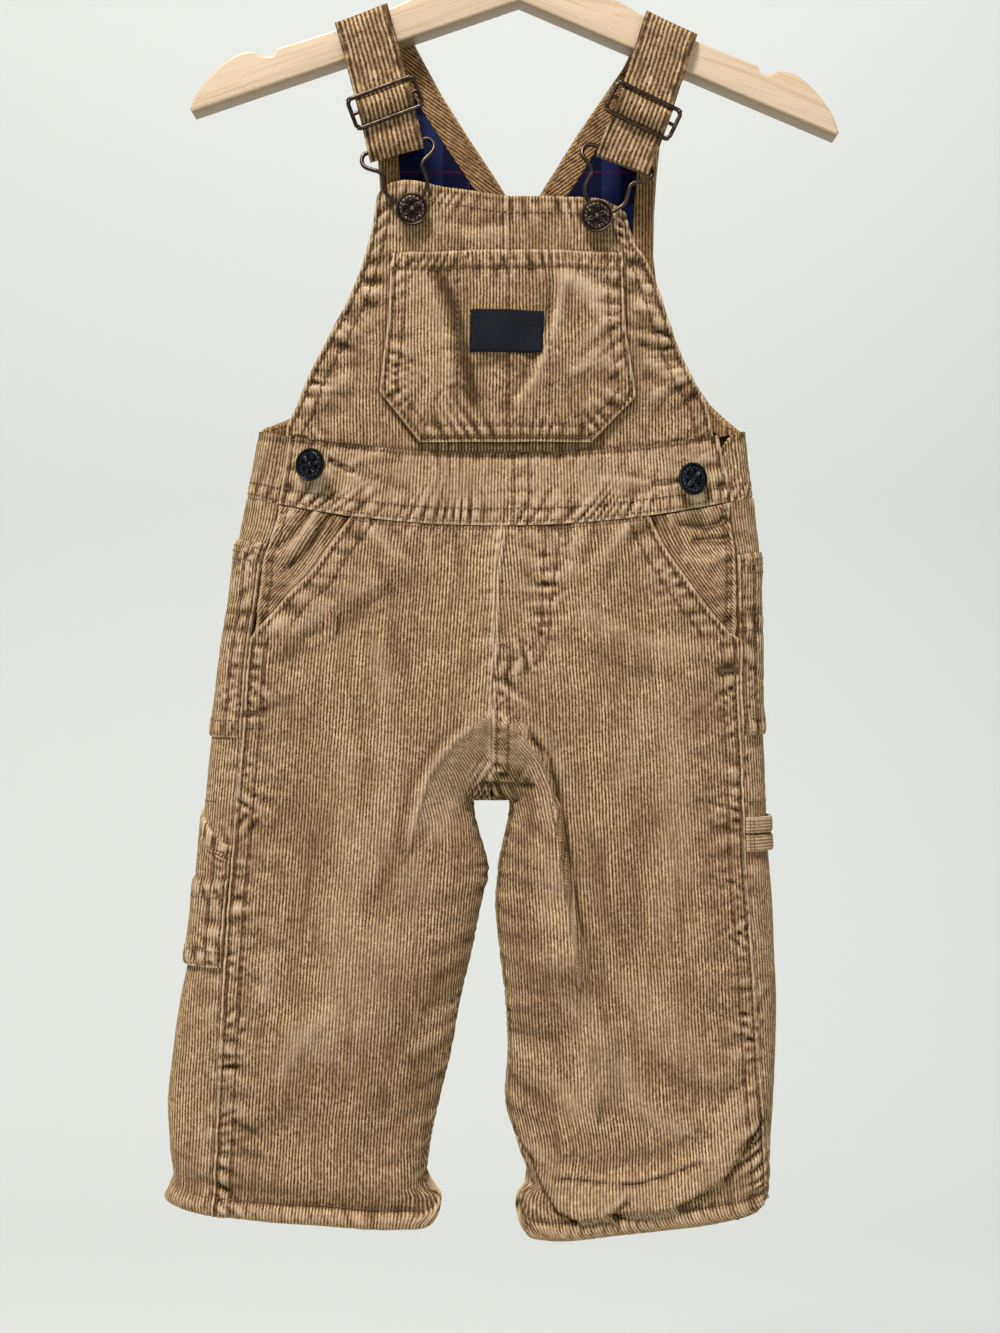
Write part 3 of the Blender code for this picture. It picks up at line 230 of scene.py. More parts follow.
left = {
    "name": "left", "sign": -1,
    "outer": table((-188, 126.2), (-164, 126.4), (-141, 127.8), (-118, 128.8), (-94, 129.3), (-70, 128.3),
                   (-47, 127.4), (-23, 125.4), (0, 124.4), (23, 123.6), (47, 122.0), (70, 122.0), (94, 121.2),
                   (118, 121.4), (129, 120.0), (141, 118.5), (155, 116.6), (172, 115)),
    "inner": table((-188, 9.2), (-164, 9.4), (-141, 2.8), (-118, 3.8), (-94, 2.8), (-70, 0), (-47, -2.0),
                   (-35, -1.0), (-23, -1.6), (-10, -3.2), (0, -4)),
    "outseam": table((-190, 124.2), (-171, 123.6), (-154, 122.5), (-116, 119.8), (-74, 117.3), (-32, 113.9),
                     (10, 112.7), (47, 110.8), (71, 110.5), (91, 110.1), (116, 108.8), (127, 107.8),
                     (136, 107.4)),
    "slant": table((72, 110.3), (80, 102.5), (88, 95), (102, 84.3), (115.4, 75.5), (129.4, 69.1), (134, 67)),
    "innerCorner": table((-188, -1.2), (-183.5, 0), (-180.8, 3.4), (-178.5, 7.2), (-174.5, 4.4), (-164, 0)),
    "outerCorner": table((-188, -3.2), (-176, 0), (-164, 0)),
    "hem": table((-1.0, 8), (-0.75, 1), (-0.5, -2), (-0.25, 0), (0.0, 0), (0.25, -6), (0.5, -12), (0.75, -17),
                 (0.9, -12), (1.0, 8)),
    "grain": (114.1, -0.0519),
    "folds": [(6.5, 2.6, 12, [(2, 37), (9.4, 30.3), (18.2, 18.3), (22.2, 6.5), (25, -10.8), (27.6, -27.8),
                              (30.5, -43.7), (34.3, -72)]),
              (4.2, 5, 12, [(34.3, -72), (40, -88), (45.5, -101.6), (47.5, -118), (46, -134)]),
              (-1.8, 6, 7, [(9, -24), (14, -60), (26, -100), (30, -130)]),
              (-1.5, 9, 10, [(62, 96), (66, 30), (62, -30)]),
              (-1.6, 10, 12, [(60, -60), (76, -84), (96, -100)]),
              (1.5, 10, 12, [(58, -84), (78, -106), (98, -122)]),
              (-1.4, 9, 10, [(94, 40), (100, -20), (102, -70)]), (-1.6, 8, 8, [(12, -44), (28, -42)]),
              (-2.0, 9, 9, [(11, -103), (32, -106)]), (1.8, 14, 14, [(78, 60), (82, -20), (80, -90)]),
              (-1.5, 12, 12, [(88, 84), (104, 58)]),
              (4.4, 12, 2.0, [(15, -166), (26, -186.5), (37.5, -191.3), (48, -189.2), (52, -187.2),
                              (76, -186.8), (90, -179.6), (103, -171), (112.5, -156.5), (121, -143)]),
              (-1.8, 5, 5, [(24, -166), (50, -168), (72, -165), (94, -156)])],
    "creases": [(-1.1, 3, 5, [(0, 24), (12, 8), (16, -12)]), (0.7, 3, 4, [(6, 40), (20, 30), (28, 16)]),
                (-0.9, 2.5, 4, [(12, -8), (24, -18)]), (0.8, 3, 3, [(10, -34), (26, -36)]),
                (-0.8, 3, 3, [(12, -60), (28, -62)]), (-0.9, 3, 4, [(14, -82), (34, -80)]),
                (0.9, 3, 4, [(10, -118), (24, -126), (34, -140)]),
                (-0.9, 3, 4, [(8, -128), (18, -140), (26, -156)]),
                (-0.8, 3, 4, [(40, -60), (48, -84), (56, -96)]), (0.7, 5, 6, [(66, 40), (58, 10)]),
                (-2.4, 2.0, 1.0, [(25, -173.4), (37.6, -174.6), (50.4, -176), (64.6, -175.6), (78.8, -171.4),
                                  (92, -166)]),
                (1.2, 1.4, 2.4, [(25, -171.6), (37.6, -172.6), (50.4, -174), (64.6, -173.6), (78.8, -169.4),
                                 (92, -164)]),
                (-3.4, 1.5, 1.2, [(6, 38), (13.6, 31), (21.9, 19.4), (26.2, 6.9), (29.0, -10.8),
                                  (31.4, -28)]),
                (-2.4, 1.8, 1.6, [(29.0, -10.8), (31.6, -28), (34.4, -44), (38.4, -71)]),
                (-1.2, 2.6, 2.6, [(38.4, -71), (44, -86), (49.6, -100)]),
                (-3.2, 0.8, 0.9, [(14.2, -164), (20, -179), (26.6, -189.5), (37.5, -194.1), (47.6, -191.8),
                                  (51.2, -189.5), (75.9, -189.2), (90.1, -181.8), (104.3, -173),
                                  (114.3, -158), (123, -143.5)]),
                (-2.0, 0.9, 1.4, [(51.2, -189.5), (58.4, -183.1)]), (0.9, 1.4, 1.6, [(49, -187), (56, -181)]),
                (-0.9, 3, 4, [(34, 74), (60, 60), (84, 58)]), (0.8, 4, 4, [(40, 86), (64, 74), (88, 72)]),
                (-0.8, 3, 5, [(70, -10), (62, -34), (64, -56)]),
                (-0.9, 3, 4, [(44, -20), (50, -50), (60, -72)]),
                (-0.9, 3, 4, [(70, -118), (84, -130), (104, -136)]),
                (0.8, 4, 4, [(56, -122), (66, -142), (84, -152)]),
                (-0.7, 3, 4, [(88, -40), (82, -60), (86, -84)])],
    "outCreases": [(60, 20, 6, -1.0), (49, 14, 3, -0.9), (40, 18, 1, -0.8), (30, 12, 2, -0.9),
                   (20, 22, 3, -0.8), (9, 13, 0, -0.9), (-2, 18, 2, -0.8), (-13, 12, 1, -0.9),
                   (-26, 20, 3, -0.8), (-37, 14, 0, -0.9), (-50, 18, 2, -0.8), (-61, 13, 1, -0.9),
                   (-73, 22, 2, -0.8), (-86, 14, 0, -0.9), (-98, 18, 3, -0.8), (-110, 13, -1, -0.9),
                   (-123, 20, 3, -0.9), (-136, 14, 4, -0.9)],
    "inCreases": [(-14, 14, -5, -1.2), (-26, 18, -6, -1.2), (-38, 20, 1, -1.4), (-50, 15, -4, -1.1),
                  (-61, 19, -5, -1.2), (-73, 14, -4, -1.0), (-84, 18, -5, -1.2), (-96, 15, -3, -1.1),
                  (-107, 21, -2, -1.4), (-118, 16, -7, -1.2), (-129, 18, -9, -1.2), (-141, 15, -8, -1.1),
                  (-153, 18, -6, -1.2)],
    "backFolds": [(2.4, 12, 12, [(10, 42), (34, 22), (56, -8)]), (-2.0, 9, 12, [(4, 26), (32, 4), (58, -2)]),
                  (-1.8, 10, 12, [(14, -88), (50, -98), (96, -90)]), (2.0, 14, 12, [(66, 72), (70, 10)]),
                  (-1.6, 8, 8, [(18, -78), (60, -84)]), (1.8, 12, 12, [(74, -40), (80, -130)]),
                  (-1.2, 4, 6, [(10, 12), (34, -10)]), (-1.0, 3, 5, [(20, -68), (50, -72)]),
                  (-1.1, 4, 5, [(50, -110), (86, -116)]), (-1.5, 8, 9, [(26, -142), (52, -168)]),
                  (-0.9, 3, 4, [(80, 92), (56, 84)]), (1.0, 4, 5, [(44, -28), (50, -60)])],
}
for leg in (right, left):
    for key, edge, turn, inset in (("outCreases", "outseam", leg["sign"], 3),
                                   ("inCreases", "inner", -leg["sign"], 1)):
        for level, reach, rise, height in leg[key]:
            x = float(curveThrough(leg[edge], level)) + turn * inset
            leg["creases"].append((height, 1.8 + 0.04 * reach, 2.4,
                                   [(x, level), (x + turn * reach, level + rise)]))
crotchFolds = [(-1.6, 5, 5, [(-4, 30), (-9, 10)]), (1.6, 6, 6, [(-3, 60), (-2, 122)])]
# the wales inside these lines lean along them, by a whole number of wales at the foot
turned = {
    "right": (table((-400, -39), (-20, -39), (-9.4, -38), (1.4, -35), (13.1, -30), (22.5, -23.5), (30.2, -16),
                    (40, -6)), 33.0),
    "left": (table((-400, 27), (-72, 34.3), (-43.7, 31.5), (-27.8, 28.6), (-10.8, 26), (6.5, 23.2),
                   (18.3, 19.2), (30.3, 10.4), (38, 2)), 24.0),
}


def torsoShare(z, angle):
    far = np.abs(angle) / math.pi
    rise = np.clip((crotchRise - z) / crotchRise, 0, 1)
    seam = np.where(z <= 0, 0.0, np.sqrt(np.clip(1 - rise ** 2, 0, 1)))
    beside = mix(smooth(-75, 70, z), smooth(-30, 45, z), smooth(0.5, 0.95, far))
    return mix(beside, seam, smooth(0.87, 1, far))


def across(angle):
    return (np.cos(angle) - 0.05 * np.cos(3 * angle)) / 0.95


def through(angle):
    return (np.sin(angle) + 0.05 * np.sin(3 * angle)) / 0.95


def innerEdge(side, z):
    line = np.where(z < 0, curveThrough(side["inner"], z), curveThrough(centreSeam, z))
    return line - side["sign"] * 0.075


def archShift(side, angle, z):
    # the legs part from each other in a flat arch: the inner sides stand back just under the crotch
    far = np.abs(angle) / math.pi
    below = smooth(-35, 0, z) * smooth(0.55, 1, far)
    above = smooth(14, 0, z) * smooth(0.55, 1, far) * smooth(1, 0.95, far)
    return -side["sign"] * 8.6 * np.where(z < 0, below, above)


def skinX(side, angle, z):
    outer, inner, share = curveThrough(side["outer"], z), innerEdge(side, z), torsoShare(z, angle)
    legX = (outer + inner) / 2 + (outer - inner) / 2 * across(angle)
    far = np.abs(angle) / math.pi
    corners = (curveThrough(side["innerCorner"], z) * smooth(0.72, 1, far)
               + curveThrough(side["outerCorner"], z) * smooth(0.28, 0, far))
    return mix(legX, inner + (outer - inner) * across(angle / 2), share) + archShift(side, angle, z) + corners


def skin(side, angle, z):
    angle, z = np.broadcast_arrays(angle, z)
    x, share = skinX(side, angle, z), torsoShare(z, angle)
    deep = np.where(angle > 0, curveThrough(frontDepth, z), curveThrough(backDepth, z))
    front = mix(through(angle), through(angle / 2), share)
    y = -deep * front
    folds = foldHeight(side["folds"] + side["creases"] + crotchFolds, x, z) * front
    backs = foldHeight(side["backFolds"], x, z) * front
    y = y - np.where(angle > 0, folds, 0) - np.where(angle < 0, backs, 0)
    soft = (1.2 * unevenness(x, z, 46, 2 if side is right else 5) + 0.6 * unevenness(x, z, 21, 3)
            + 0.16 * unevenness(x, z, 9, 8))
    return np.stack([x, y - soft * np.sin(angle) * 0.6, z], -1)


def waleTurn(side, x, z):
    # how far the wales are carried sideways between the crotch and the folds beside it
    line, most = turned[side["name"]]
    edge = np.interp(z, line[:, 0], line[:, 1])
    top = float(line[-1, 1])
    inside = side["sign"] * (x - edge) > 0
    slide = np.clip(np.abs(edge - top), 0, most)
    slide = np.where(z < (-20 if side is right else -10.8), most, slide)
    return np.where(inside & (z < line[-1, 0]), -side["sign"] * slide, 0)


def unit(vectors):
    return vectors / np.maximum(np.linalg.norm(vectors, axis=-1, keepdims=True), 1e-9)


def bodyPoint(side, angle, z):
    # the outer face and its outward normal
    point = skin(side, angle, z)
    edge = np.abs(angle) > 0.94 * math.pi
    above = np.where(edge & (z < 0), np.minimum(z + 1, -0.001), z + 1)
    below = np.where(edge & (z > 0), np.maximum(z - 1, 0.001), z - 1)
    turn = unit(np.cross(skin(side, angle + 0.02, z) - skin(side, angle - 0.02, z),
                         skin(side, angle, above) - skin(side, angle, below)))
    middle = (curveThrough(side["outer"], z) + innerEdge(side, z)) / 2
    middle = mix(middle, innerEdge(side, z), torsoShare(z, math.pi))
    away = (point[..., 0] - middle) * turn[..., 0] + point[..., 1] * turn[..., 1]
    return point, np.where(away[..., None] < 0, -turn, turn)


def angleAt(side, x, z):
    # the front angle at which the skin reaches x
    x, z = np.broadcast_arrays(np.asarray(x, float), np.asarray(z, float))
    low, high = np.zeros(x.shape), np.full(x.shape, math.pi)
    for _ in range(26):
        middle = (low + high) / 2
        outside = side["sign"] * (skinX(side, middle, z) - x) < 0
        low, high = np.where(outside, middle, low), np.where(outside, high, middle)
    return (low + high) / 2


def seamAngle(side, z):
    return angleAt(side, curveThrough(side["outseam"], z), z)


def waistLow(x):
    return 127.5 + 10.5 * (x / 100) ** 2


def waistTop(x):
    return 161.3 + 8.5 * (x / 100) ** 2


def legLevel(side, angle, z):
    hemBend = curveThrough(side["hem"], angle / math.pi) * smooth(-110, hem, z)
    waistBend = (waistLow(skinX(side, angle, waistMid)) - 0.15 - waist) * smooth(50, waist, z)
    return z + hemBend + waistBend


def addPiece(name, data, material):
    # a mesh or curve becomes a piece that rides on the garment's only body
    data.materials.append(material)
    piece = bpy.data.objects.new(name, data)
    bpy.context.collection.objects.link(piece)
    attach(piece, "root")
    return piece


def writeVectors(mesh, key, values):
    attribute = mesh.attributes.new(key, "FLOAT_VECTOR", "POINT")
    attribute.data.foreach_set("vector", np.asarray(values, np.float32).ravel())


def roundOff(mesh, sharp):
    # faces turned outwards and smooth, apart from edges sharper than this angle
    bm = bmesh.new()
    bm.from_mesh(mesh)
    bmesh.ops.recalc_face_normals(bm, faces=bm.faces)
    bm.to_mesh(mesh)
    bm.free()
    mesh.shade_smooth()
    mesh.set_sharp_from_angle(angle=math.radians(sharp))


def faceOf(corners):
    # one face without repeated corners, or none if fewer than three are left
    ring = [int(v) for k, v in enumerate(corners) if v != corners[k - 1]]
    return [ring] if len(ring) > 2 else []


def clothMesh(name, outer, inner, rows, weave, drift):
    # outer points (rows, columns, 3) in mm, inner points on some of the rows, closed all round
    points, weaves, drifts, faces, layers = [], [], [], [], []
    total = 0
    for layer, values, places in ((outer, weave, drift), (inner, weave[rows], drift[rows])):
        fresh = np.ones(layer.shape[:2], bool)
        fresh[:, 1:] = np.linalg.norm(np.diff(layer, axis=1), axis=-1) > 1e-4
        layers.append(total + np.cumsum(fresh).reshape(fresh.shape) - 1)
        points.append(layer[fresh])
        weaves.append(values[fresh])
        drifts.append(places[fresh])
        total += int(fresh.sum())
    top, under = layers
    for a, b, c, d in ((top[:-1, :-1], top[:-1, 1:], top[1:, 1:], top[1:, :-1]),
                       (under[:-1, :-1], under[1:, :-1], under[1:, 1:], under[:-1, 1:])):
        for quad in np.stack([a, b, c, d], -1).reshape(-1, 4).tolist():
            faces += faceOf(quad)
    for line, low in ((top[0], under[0]), (top[-1][::-1], under[-1][::-1])):
        for k in range(len(line) - 1):
            faces += faceOf([line[k + 1], line[k], low[k], low[k + 1]])
    for k in range(len(rows) - 1):
        side = slice(rows[k], rows[k + 1] + 1)
        faces.append([int(v) for v in (*top[side, 0], under[k + 1, 0], under[k, 0])])
        faces.append([int(v) for v in (*top[side, -1][::-1], under[k, -1], under[k + 1, -1])])
    mesh = bpy.data.meshes.new(name)
    mesh.from_pydata(place(np.concatenate(points)).tolist(), [], faces)
    writeVectors(mesh, "weave", np.concatenate(weaves))
    writeVectors(mesh, "drift", np.concatenate(drifts))
    roundOff(mesh, cloth["sharp"])
    return mesh


def waleRelief(q):
    # a round ridge with a narrow valley
    part = q / cloth["pitch"] % 1
    return cloth["relief"] * (1 - np.abs(2 * part - 1) ** 2.3)


def waleColumns(low, high, samples=cloth["samples"]):
    step = cloth["pitch"] / samples
    return np.arange(math.floor(low / step), math.ceil(high / step) + 1) * step


class Panel:
    # a cloth panel over columns w and levels v, both in mm along the cloth
    def __init__(self, name, w, v, point, normal):
        self.name, self.w, self.v, self.point, self.normal = name, w, v, point, normal
        self.lift = np.zeros(w.shape)
        # paler or darker: wear along seams, painted highlight on rises, painted shade in hollows
        self.tone = np.zeros(w.shape)
        slopeStart, slopeEnd = (np.clip(np.gradient(w[:, k], v[:, 0]), -1.2, 1.2) for k in (0, -1))
        self.fromStart = (w - w[:, :1]) / np.sqrt(1 + slopeStart[:, None] ** 2)
        self.fromEnd = (w[:, -1:] - w) / np.sqrt(1 + slopeEnd[:, None] ** 2)
        self.fromLow, self.fromTop = v - v[0, 0], v[-1, 0] - v
        self.sides = (self.fromStart, self.fromEnd)
        self.edges = (*self.sides, self.fromLow, self.fromTop)

    def groove(self, away, depth=0.35, width=0.9, tone=0.5):
        # a furrow, darkened with painted shade
        dip = np.exp(-((away / width) ** 2))
        self.lift -= depth * dip
        self.tone -= tone * dip

    def ridge(self, away, height=0.6, width=1.1, tone=0.5):
        # a rise made paler with painted highlight; negative values make a dip in painted shade
        bump = np.exp(-((away / width) ** 2))
        self.lift += height * bump
        self.tone += tone * bump

    def pucker(self, away, run, low, high, height=0.45, length=6.0, seed=1.0, tone=0.55, where=1.0,
               reach=1.0):
        # wrinkles across the band between two rows of stitches, fading out beside it, with painted highlight
        # on their crests and painted shade in their creases
        inside = np.clip((away - low) / (high - low), 0, 1)
        fade = reach * (5.5 + 3.5 * np.sin(run / (length * 0.8) + seed * 2.3))
        band = np.where(away > high, 0.7 * np.exp(-(away - high) / fade),
                        0.45 + 0.55 * np.sin(math.pi * inside))
        band = band * smooth(low - 3.6, low - 1.0, away) * where
        slant = 0.15 + 0.5 * np.sin(run / (length * 2.9) + seed * 1.3)
        wave = ripple(run + slant * away, length, seed)
        # longer creases that run on into the cloth
        longer = np.exp(-np.maximum(away - high, 0) / (8.0 * reach)) * smooth(low, high, away) * where
        slow = ripple(run + 0.45 * away, 2.1 * length, seed + 4.0)
        self.lift += height * (wave * band + 0.5 * slow * longer)
        self.tone += tone * (wave * band + 0.4 * slow * longer)

    def seam(self, away, tone=0.8):
        # the narrow furrow that a row of stitches pulls in, darkened with painted shade
        self.groove(away, 0.38, 0.62, tone)

    def cordEdge(self, away):
        # a folded edge that stands up like a cord, worn pale with a painted highlight,
        # with a furrow beside it in painted shade
        self.hemEdge(away, 0.6, 1.0)
        self.ridge(away - 0.9, 0.45, 0.75, 0.55)
        self.groove(away - 2.1, 0.2, 0.6, 0.5)

    def joinSeam(self, away):
        # lightly puckered join of two pieces
        self.groove(away, 0.25, 0.7, 0.5)
        self.pucker(away, self.point[..., 0], 1.0, 2.0, 0.4, 6.2, 5.4, 0.5)

    def hemEdge(self, away, depth=0.8, width=1.3):
        # rounds the cloth over at a free edge, paler along it: wear and painted highlight
        t = np.clip(1 - away / width, 0, 1)
        self.lift -= depth * (1 - np.sqrt(1 - 0.96 * t ** 2))
        self.tone += 0.35 * t

    def finish(self, material, wall=cloth["wall"], grain=None, every=8, slot="corduroy", relief=1.0,
               wander=0.22):
        # wales, thickness and mesh; grain gives other wale places than the panel's own columns
        q, along = (self.w, self.v) if grain is None else grain(self.w, self.v)
        q = q + wander * (unevenness(q, along, 30, 11) + 0.45 * unevenness(q, along, 11, 6))
        ridges = waleRelief(q) * relief
        rows = sorted({*range(0, self.w.shape[0] - 1, every), self.w.shape[0] - 1})
        # the weave attribute's third value carries the wear and the painted light and shade
        weave = np.stack([q, along, self.tone], -1)
        drift = np.stack([self.w, self.v, 0 * self.w], -1)
        outer = self.point + self.normal * (self.lift + ridges)[..., None]
        inner = (self.point - self.normal * wall)[rows]
        self.surface = self.point + self.normal * (self.lift + 0.8 * cloth["relief"] * relief)[..., None]
        mesh = clothMesh(self.name, outer, inner, rows, weave, drift)
        self.piece = addPiece(self.name, mesh, material)

    def at(self, w, v):
        # surface points and normals at cloth places
        row = np.interp(v, self.v[:, 0], np.arange(self.v.shape[0]))
        r = np.clip(row.astype(int), 0, self.v.shape[0] - 2)
        found = []
        for grid in (self.surface, self.normal):
            ends = []
            for k in (r, r + 1):
                values = np.empty((len(k), 3))
                for n, (line, spot) in enumerate(zip(k, w)):
                    columns = self.w[line]
                    c = int(np.clip(np.searchsorted(columns, spot), 1, len(columns) - 1))
                    gap = columns[c] - columns[c - 1]
                    t = 0.0 if gap < 1e-6 else (spot - columns[c - 1]) / gap
                    values[n] = grid[line, c - 1] + (grid[line, c] - grid[line, c - 1]) * min(1, max(0, t))
                ends.append(values)
            found.append(ends[0] + (ends[1] - ends[0]) * (row - r)[:, None])
        return found[0], unit(found[1])

    def toCloth(self, places):
        # cloth places of points given by x and z as seen from the front
        found = []
        for x, z in places:
            away = (self.point[..., 0] - x) ** 2 + (self.point[..., 2] - z) ** 2
            r, c = np.unravel_index(np.argmin(away), away.shape)
            found.append((float(self.w[r, c]), float(self.v[r, c] + z - self.point[r, c, 2])))
        return found

    def standFor(self, node, held, restsOn):
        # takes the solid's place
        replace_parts(self.piece, node)

    def stitchSides(self, insets, starts=(True, False), low=None, high=None, **thread):
        # rows of stitches beside the start edge, the end edge or both, between two levels
        v = self.v[:, 0]
        keep = (v >= (v[0] if low is None else low)) & (v <= (v[-1] if high is None else high))
        for inset in insets:
            for start in starts:
                edge = self.w[:, 0] if start else self.w[:, -1]
                w = edge + (1 if start else -1) * inset * np.sqrt(1 + np.gradient(edge, v) ** 2)
                stitchRun(self, np.stack([w[keep], v[keep]], -1), **thread)

    def level(self, v, inset=1.0):
        # cloth places along a level
        row = int(np.argmin(np.abs(self.v[:, 0] - v)))
        w = np.linspace(self.w[row, 0] + inset, self.w[row, -1] - inset, 60)
        return np.stack([w, np.full(60, float(v))], -1)

    def stitchLevels(self, levels, inset=1.0):
        for level in levels:
            stitchRun(self, self.level(level, inset))


# sewing thread: mm of stitch and gap, thickness, how far a stitch stands up and dives at its ends
threads = {"tan": {"points": [], "faces": []}, "gold": {"points": [], "faces": []}}
stitch = {"length": 2.5, "gap": 0.55, "radius": 0.27, "stands": 0.1, "dives": -0.5}
startEdge, endEdge = (True,), (False,)


def stitchRun(panel, line, colour="tan", length=stitch["length"], gap=stitch["gap"], radius=stitch["radius"]):
    # stitches along a line of cloth places
    line = np.array(line, float)
    steps = runAlong(line)
    starts = np.arange(0.3, steps[-1] - length, length + gap)
    if not len(starts):
        return
    # share of the stitch, height over the cloth, thickness
    rows = ((0, stitch["dives"], 0.6), (0.2, stitch["stands"], 1), (0.8, stitch["stands"], 1),
            (1, stitch["dives"], 0.6))
    samples = np.concatenate([starts + share * length for share, _, _ in rows])
    point, turn = panel.at(np.interp(samples, steps, line[:, 0]), np.interp(samples, steps, line[:, 1]))
    point, turn = point.reshape(len(rows), -1, 3), turn.reshape(len(rows), -1, 3)
    along = unit(point[-1] - point[0])
    rings = []
    for seat, up, (_, height, thick) in zip(point, turn, rows):
        side, fat = unit(np.cross(up, along)), radius * thick
        centre = seat + up * height
        beside, above = side * fat, up * fat
        rings.append(np.stack([centre + beside, centre + above, centre - beside, centre - above], 1))
    store = threads[colour]
    base = sum(len(block) for block in store["points"])
    store["points"].append(np.stack(rings, 1).reshape(-1, 3))  # stitch, ring, corner
    for first in range(base, base + 16 * len(starts), 16):
        for ring in range(first, first + 12, 4):
            for j in range(4):
                a, b = ring + j, ring + (j + 1) % 4
                store["faces"].append((a, b, b + 4, a + 4))


def linear(colour):
    # sRGB hex to linear
    parts = [int(colour[k:k + 2], 16) / 255 for k in (1, 3, 5)]
    return [p / 12.92 if p <= 0.04045 else ((p + 0.055) / 1.055) ** 2.4 for p in parts] + [1.0]


def setUp(tree, node, settings, links=None):
    # settings and socket values by name or number, then links from nodes (their first output) or sockets
    for key, value in settings.items():
        if key == "stops":
            ramp = node.color_ramp.elements
            while len(ramp) < len(value):
                ramp.new(0.5)
            for element, (position, colour) in zip(ramp, value):
                element.position, element.color = position, linear(colour)
        elif isinstance(key, int) or key in node.inputs:
            node.inputs[key].default_value = value
        else:
            setattr(node, key, value)
    for key, source in (links or {}).items():
        tree.links.new(source.outputs[0] if isinstance(source, bpy.types.Node) else source, node.inputs[key])
    return node


def addNode(tree, kind, settings=None, links=None):
    return setUp(tree, tree.nodes.new("ShaderNode" + kind), settings or {}, links)


def newMaterial(name):
    # the material, its node tree and its shader
    material = bpy.data.materials.new(name)
    material.use_nodes = True
    tree = material.node_tree
    return material, tree, tree.nodes["Principled BSDF"]


# Cotton pinwale corduroy, woven, cut and brushed, garment-dyed and washed: soft round ridges with a
# painted highlight on the crests, painted shade in the ground between, and worn pale along every seam.
corduroyLook = {
    # in creases and furrows; worn: wear along the seams and painted highlight on raised places
    # valley: painted shade in the wale hollows; crest: painted highlight, partly wear; deep: painted shade
    "valley": "#331f06", "shoulder": "#6a4b25", "ridge": "#aa8f65", "crest": "#cdb693",
    "worn": "#d8c2a0", "deep": "#271505", "brown": "#664a2a", "sheenTint": "#e8d3ae",
    "roughness": 0.92, "sheen": 0.16,
    # noise frequency per mm across and along the wales, noise settings, spread taken up, height given
    "tufts": [((1.6, 0.9, 0), {"Detail": 3.0, "Roughness": 0.65}, 0.25, 0.2),
              ((0.6, 0.38, 0), {"Detail": 2.0}, 0.2, 0.11)],
    # the same for washed streaks, patches and blotches: frequency and detail
    "washed": [((0.30, 0.022, 0), 2.0), ((0.035, 0.022, 0), 3.0), ((0.16, 0.10, 0), 2.0)],
}


def corduroyMaterial(name, shade="#ffffff"):
    look = corduroyLook
    material, tree, shader = newMaterial(name)
    weave, drift = (addNode(tree, "Attribute", {"attribute_name": key}).outputs["Vector"]
                    for key in ("weave", "drift"))
    split = addNode(tree, "SeparateXYZ", links={0: weave})
    turns = addNode(tree, "Math", {"operation": "DIVIDE", 1: cloth["pitch"]}, {0: split})
    height = addNode(tree, "Math", {"operation": "PINGPONG", 1: 0.5}, {0: turns})
    # the pile stands unevenly along each ridge in 0.5 mm tufts, and longer gaps break the wales up
    for size, noise, spread, most in look["tufts"]:
        stretched = addNode(tree, "VectorMath", {"operation": "MULTIPLY", 1: size}, {0: weave})
        tufts = addNode(tree, "TexNoise", {"Scale": 1.0, **noise}, {"Vector": stretched})
        ragged = addNode(tree, "MapRange", {"From Min": 0.5 - spread, "From Max": 0.5 + spread,
                                            "To Min": -most, "To Max": most}, {"Value": tufts})
        height = addNode(tree, "Math", {"operation": "ADD"}, {0: height, 1: ragged})
    # the wale's height picks the colour: painted shade low in the valleys, painted highlight on the crests
    colour = addNode(tree, "ValToRGB", {"stops": [(0.02, look["valley"]), (0.16, look["shoulder"]),
                                                  (0.32, look["ridge"]), (0.5, look["crest"])]},
                     {0: height}).outputs[0]
    faded = None
    for size, detail in look["washed"]:
        stretched = addNode(tree, "VectorMath", {"operation": "MULTIPLY", 1: size}, {0: drift})
        cloud = addNode(tree, "TexNoise", {"Scale": 1.0, "Detail": detail}, {"Vector": stretched})
        faded = addNode(tree, "Math", {"operation": "ADD"}, {0: faded, 1: cloud}) if faded else cloud
    # browner where it faded; paler for a high shading value: wear along the seams and painted highlight on
    # crests and bulges; darker for a low one: painted shade in creases and furrows
    tone = split.outputs[2]
    for source, low, high, most, key in ((faded, 1.25, 1.9, 0.62, "brown"), (tone, 0.0, 1.0, 0.55, "worn"),
                                         (tone, 0.0, -1.0, 0.85, "deep")):
        share = addNode(tree, "MapRange", {"From Min": low, "From Max": high, "To Min": 0.0, "To Max": most},
                        {"Value": source})
        colour = addNode(tree, "Mix", {"data_type": "RGBA", 7: linear(look[key])},
                         {0: share, 6: colour}).outputs[2]
    # a shade colour other than white multiplies the cloth darker: painted shade for parts inside the garment
    tint = addNode(tree, "Mix", {"data_type": "RGBA", "blend_type": "MULTIPLY", 0: 1.0, 7: linear(shade)},
                   {6: colour})
    bump = addNode(tree, "Bump", {"Strength": 0.55, "Distance": 0.0003}, {"Height": height})
    setUp(tree, shader, {"Roughness": look["roughness"], "Specular IOR Level": 0.2,
                         "Sheen Weight": look["sheen"], "Sheen Roughness": 0.5,
                         "Sheen Tint": linear(look["sheenTint"])},
          {"Base Color": tint.outputs[2], "Normal": bump})
    return material


corduroy = corduroyMaterial("washed_pinwale_corduroy")
# a darker copy of the corduroy, painted shade for the facings seen inside the back
shadedCorduroy = corduroyMaterial("shaded_inner_pinwale_corduroy", "#e0d2bd")

# Spun polyester topstitch thread, matte with a slight gleam: brown, and gold at the pocket tops.
threadLook = {"tan": "#76562d", "gold": "#a68334", "shade": "#3d2810"}


